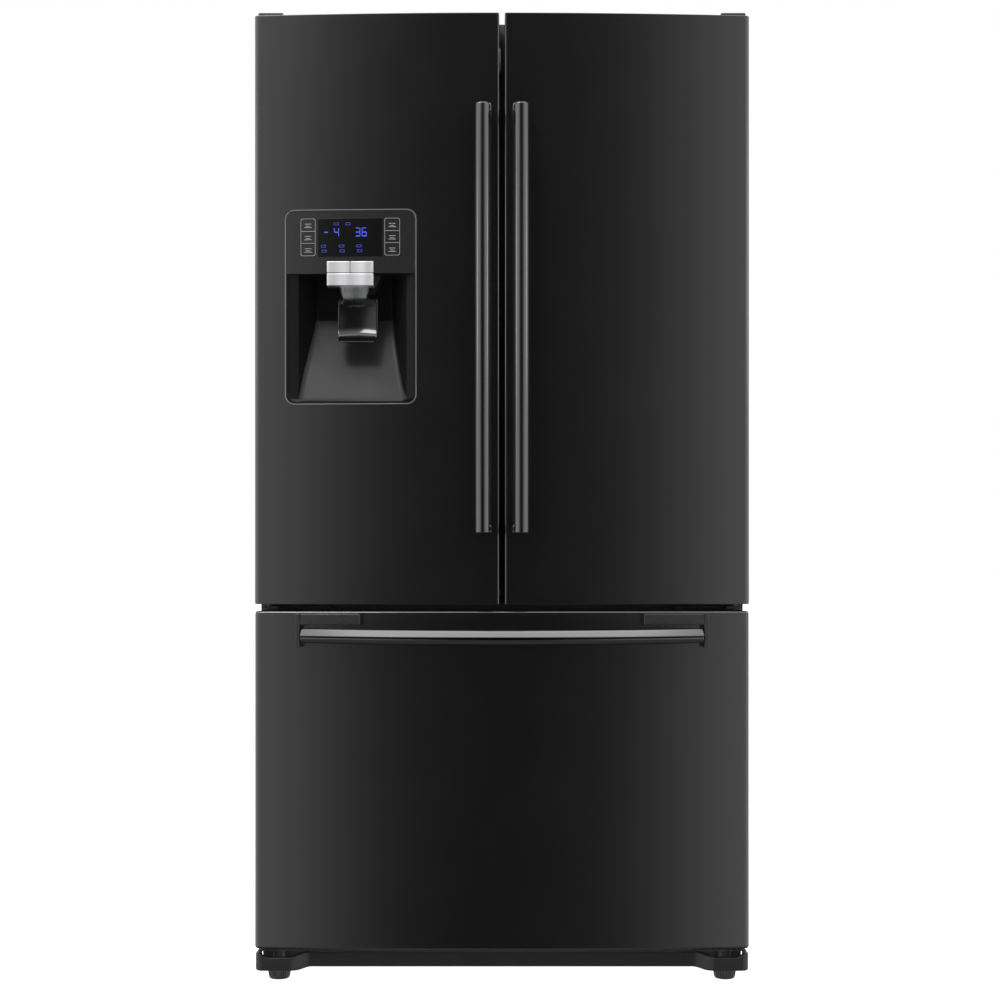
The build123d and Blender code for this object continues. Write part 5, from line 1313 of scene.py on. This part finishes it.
# Radius and height of each ring of the foot, and the share of its ribs' depth
FOOT_PROFILE = (
    (0.0, 0.0, 0.0), (0.0170, 0.0, 0.0), (0.0186, 0.0012, 0.0), (0.0194, 0.0030, 0.3), (0.0203, 0.0070, 1.0),
    (0.0212, 0.0140, 1.0), (0.0217, 0.0220, 1.0), (0.0218, 0.0250, 0.3), (0.0205, 0.0268, 0.0),
    (0.0060, 0.0270, 0.0), (0.0050, 0.0300, 0.0), (0.0050, 0.0540, 0.0), (0.0, 0.0540, 0.0),
)
RIB_DEPTH = 0.0011


def make_foot(word):
    """A levelling foot with a tapered, ribbed grip."""
    node = f"foot_{word}"
    lowest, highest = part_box(node)
    centre = (lowest + highest) / 2
    steps = RIBS * 4
    rings = []
    for radius, z, ribbing in FOOT_PROFILE:
        ring = []
        for step in range(steps):
            turn = 2 * math.pi * step / steps
            wave = 0.5 + 0.5 * math.cos(RIBS * turn)
            r = max(radius - RIB_DEPTH * ribbing * wave, 0.00001)
            ring.append((centre.x + r * math.cos(turn), centre.y + r * math.sin(turn), min(z, highest.z)))
        rings.append(ring)
    verts, faces = skin_rings(rings)
    add_piece(f"{node}_grip", verts, faces, "foot_rubber", f"{word}_foot", "foot_rubber", (node,))


make_kick()
make_foot("left")
make_foot("right")

# ------------------------------------------------------------------ seals
# Distance in from the seal's outer edge and rise off the door
SEAL_PROFILE = (
    (0.0000, 0.0000), (0.0000, 0.0020), (0.0018, 0.0030), (0.0006, 0.0045), (0.0018, 0.0060),
    (0.0004, 0.0072), (0.0016, 0.0088), (0.0050, 0.0095), (0.0100, 0.0095), (0.0130, 0.0086),
    (0.0140, 0.0072), (0.0122, 0.0060), (0.0136, 0.0046), (0.0122, 0.0032), (0.0140, 0.0020),
    (0.0140, 0.0000),
)
SEAL_RISE = max(rise for _, rise in SEAL_PROFILE)


def make_seal(node, body):
    """A folded magnetic seal that runs round the back of a door."""
    lowest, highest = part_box(node)
    (centre_x, half_x), (centre_z, half_z) = span(lowest.x, highest.x), span(lowest.z, highest.z)
    depth = highest.y - lowest.y
    rings = []
    for inset, rise in SEAL_PROFILE:
        outline = rounded_outline(half_x - inset, half_z - inset, max(0.0065 - inset * 0.3, 0.002), 5)
        rings.append([(centre_x + u, lowest.y + rise * depth / SEAL_RISE, centre_z + v) for u, v in outline])
    verts, faces = closed_sweep(rings)
    add_piece(f"{node}_folds", verts, faces, "seal_rubber", body, "seal_rubber", (node,), weighted=False)


make_seal("left_door_gasket", "left_door")
make_seal("right_door_gasket", "right_door")
make_seal("drawer_gasket", "freezer_drawer")

# ------------------------------------------------------------------ soft lip that closes the doors' gap
LIP_REACH = -0.0028


def make_gap_lip():
    """A rubber fin on the right door's edge that meets the flipper mullion."""
    door_low, door_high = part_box("right_door_panel")
    depth = DOOR_BACK - 0.003
    section = (
        (door_low.x + 0.0004, depth - 0.0016), (door_low.x - 0.0030, depth - 0.0010),
        (LIP_REACH + 0.0006, depth - 0.0004), (LIP_REACH, depth + 0.0002),
        (LIP_REACH + 0.0006, depth + 0.0008), (door_low.x - 0.0030, depth + 0.0010),
        (door_low.x + 0.0004, depth + 0.0012),
    )
    rings = []
    for inset, z in (
        (0.0004, door_low.z + 0.0010), (0.0, door_low.z + 0.0016), (0.0, door_high.z - 0.0046),
        (0.0004, door_high.z - 0.0040),
    ):
        rings.append([(x + inset, y, z) for x, y in section])
    verts, faces = skin_rings(rings)
    add_piece("gap_lip", verts, faces, "lip_rubber", "right_door", "seal_rubber", weighted=False)


make_gap_lip()

# ------------------------------------------------------------------ bins, drawers and baskets


def tub(name, lowest, highest, corner, wall, draft, rim, material, body, replaces=()):
    """An open moulded tub with tapered walls, a rolled rim and a rounded floor edge."""
    x0, y0, z0 = lowest
    x1, y1, z1 = highest
    (centre_x, half_x), (centre_y, half_y) = span(x0, x1), span(y0, y1)
    floor_round = min(0.012, corner)
    sections = [
        (rim, z1 - rim * 1.6), (0.0, z1 - rim * 1.6), (0.0, z1 - 0.0006), (0.0006, z1),
        (rim + wall - 0.0006, z1), (rim + wall, z1 - 0.0006),
    ]
    inner_floor = z0 + wall
    inner = rim + wall + draft * 0.9
    bend = quarter(3)
    sections += [(inner + floor_round * inward, inner_floor + floor_round * up) for up, inward in bend]
    outer = [(rim + draft + floor_round * inward, z0 + floor_round * up) for up, inward in bend]
    rings = []
    for inset, z in outer[::-1] + sections:
        outline = rounded_outline(half_x - inset, half_y - inset, max(corner - inset, 0.003), 6)
        rings.append([(centre_x + u, centre_y + v, z) for u, v in outline])
    verts, faces = skin_rings(rings)
    add_piece(name, verts, faces, material, body, "clear_bin", replaces)


# Floor height and depth of each door bin
BIN_LEVELS = {
    "left": ((0.770, 0.118), (0.905, 0.110)),
    "right": ((0.770, 0.118), (1.020, 0.110), (1.300, 0.090)),
}
# Trim of a door bin: distance in from its ends, reach to both sides of its face, and drop below its rim
TRIM_INSET = 0.012
TRIM_REACH = (0.0005, 0.0015)
TRIM_DROP = (0.024, 0.006)


def make_bins():
    """The door bins, each at the height of its CAD box."""
    for word, places in BIN_LEVELS.items():
        node, body = f"{word}_door_bins", f"{word}_door"
        lowest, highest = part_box(node)
        for order, (z, height) in enumerate(places):
            corners = ((lowest.x, lowest.y, z), (highest.x, highest.y, z + height))
            shown = (node,) if order == 0 else ()
            tub(f"{word}_door_bin_{order}", *corners, 0.014, 0.0028, 0.004, 0.0022, "clear_bin", body, shown)
            trim_low = (lowest.x + TRIM_INSET, highest.y - TRIM_REACH[0], z + height - TRIM_DROP[0])
            trim_high = (highest.x - TRIM_INSET, highest.y + TRIM_REACH[1], z + height - TRIM_DROP[1])
            name = f"{word}_door_bin_trim_{order}"
            block_piece(name, trim_low, trim_high, 0.0007, "bin_trim", body, "black_trim_plastic")


def make_tubs():
    """Crispers, pantry drawer and freezer basket."""
    for node, body, material, corner in (
        ("crisper_left", "left_crisper", "clear_bin", 0.016),
        ("crisper_right", "right_crisper", "clear_bin", 0.016),
        ("pantry_drawer", "pantry", "clear_bin", 0.018),
        ("freezer_basket", "freezer_drawer", "frosted_bin", 0.030),
    ):
        tub(f"{node}_tub", *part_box(node), corner, 0.003, 0.006, 0.003, material, body, (node,))


make_bins()
make_tubs()

# Grip of an inner drawer: distance in from its ends, reach to both sides of its face, and gap above
GRIP_INSET = 0.010
GRIP_REACH = (0.006, 0.001)
GRIP_GAP = 0.003


def drawer_front(node, body, drop):
    """The white front rail of an inner drawer with a rounded grip along its top."""
    lowest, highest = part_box(node)
    low_corner = (lowest.x + GRIP_INSET, lowest.y - GRIP_REACH[0], highest.z - drop)
    high_corner = (highest.x - GRIP_INSET, lowest.y + GRIP_REACH[1], highest.z - GRIP_GAP)
    block_piece(f"{node}_grip", low_corner, high_corner, 0.003, "white_liner", body, "white_liner")


drawer_front("crisper_left", "left_crisper", 0.030)
drawer_front("crisper_right", "right_crisper", 0.030)
drawer_front("pantry_drawer", "pantry", 0.032)

# ------------------------------------------------------------------ fasteners
SCREW_RADIUS = 0.0045
SCREW_STEPS = 24


def screw(name, place):
    """A pan-head screw with a cross recess in the back of the cabinet."""
    rings = []
    for share, rise in ((1.0, -0.0008), (1.0, 0.0008), (0.86, 0.0016), (0.55, 0.0022)):
        radius = SCREW_RADIUS * share
        rings.append([(radius * u, radius * v, rise) for u, v in circle(SCREW_STEPS)])
    cross = []
    for step, (u, v) in enumerate(circle(SCREW_STEPS)):
        arm = 0.5 + 0.5 * math.cos(4 * (2 * math.pi * step / SCREW_STEPS))
        radius = SCREW_RADIUS * (0.16 + 0.30 * arm**3)
        cross.append((radius * u, radius * v))
    rings.append([(x, y, 0.0022) for x, y in cross])
    rings.append([(x * 0.6, y * 0.6, 0.0009) for x, y in cross])
    spin = Vector((0, 1, 0)).to_track_quat("Z", "Y").to_matrix()
    rings = [[spin @ Vector(point) + Vector(place) for point in ring] for ring in rings]
    verts, faces = skin_rings(rings)
    add_piece(name, verts, faces, "hinge_steel", "cabinet", "hinge_steel", weighted=False)


REAR = high("rear_panel").y - 0.002
# Heights of the rear panel's screws over its lower edge
SCREW_RISES = (0.03, 0.36, 0.72, 1.08)


def make_rear_screws():
    """Screws round the rear panel and the machine cover."""
    lowest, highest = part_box("rear_panel")
    heights = [lowest.z + rise for rise in SCREW_RISES] + [highest.z - 0.03]
    places = [(side * (highest.x - 0.012), REAR, z) for z in heights for side in (-1, 1)]
    for count, place in enumerate(places):
        screw(f"rear_screw_{count}", place)
    lowest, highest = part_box("machine_cover")
    across = (lowest.x + 0.02, lowest.x * 0.35, highest.x * 0.35, highest.x - 0.02)
    upright = (lowest.z + 0.015, highest.z - 0.015)
    for count, (x, z) in enumerate(((x, z) for x in across for z in upright), len(places)):
        screw(f"cover_screw_{count}", (x, highest.y, z))


make_rear_screws()

# ------------------------------------------------------------------ floor
FLOOR_SIZE = 60.0
FLOOR_CORNERS = [(u * FLOOR_SIZE, v * FLOOR_SIZE, 0.0) for u, v in ((-1, -1), (1, -1), (1, 1), (-1, 1))]
floor_mesh = bpy.data.meshes.new("floor")
floor_mesh.from_pydata(FLOOR_CORNERS, [], [(0, 1, 2, 3)])
floor_mesh.materials.append(MATERIALS["paper_floor"])
floor = put("floor", floor_mesh)
floor.visible_glossy = False
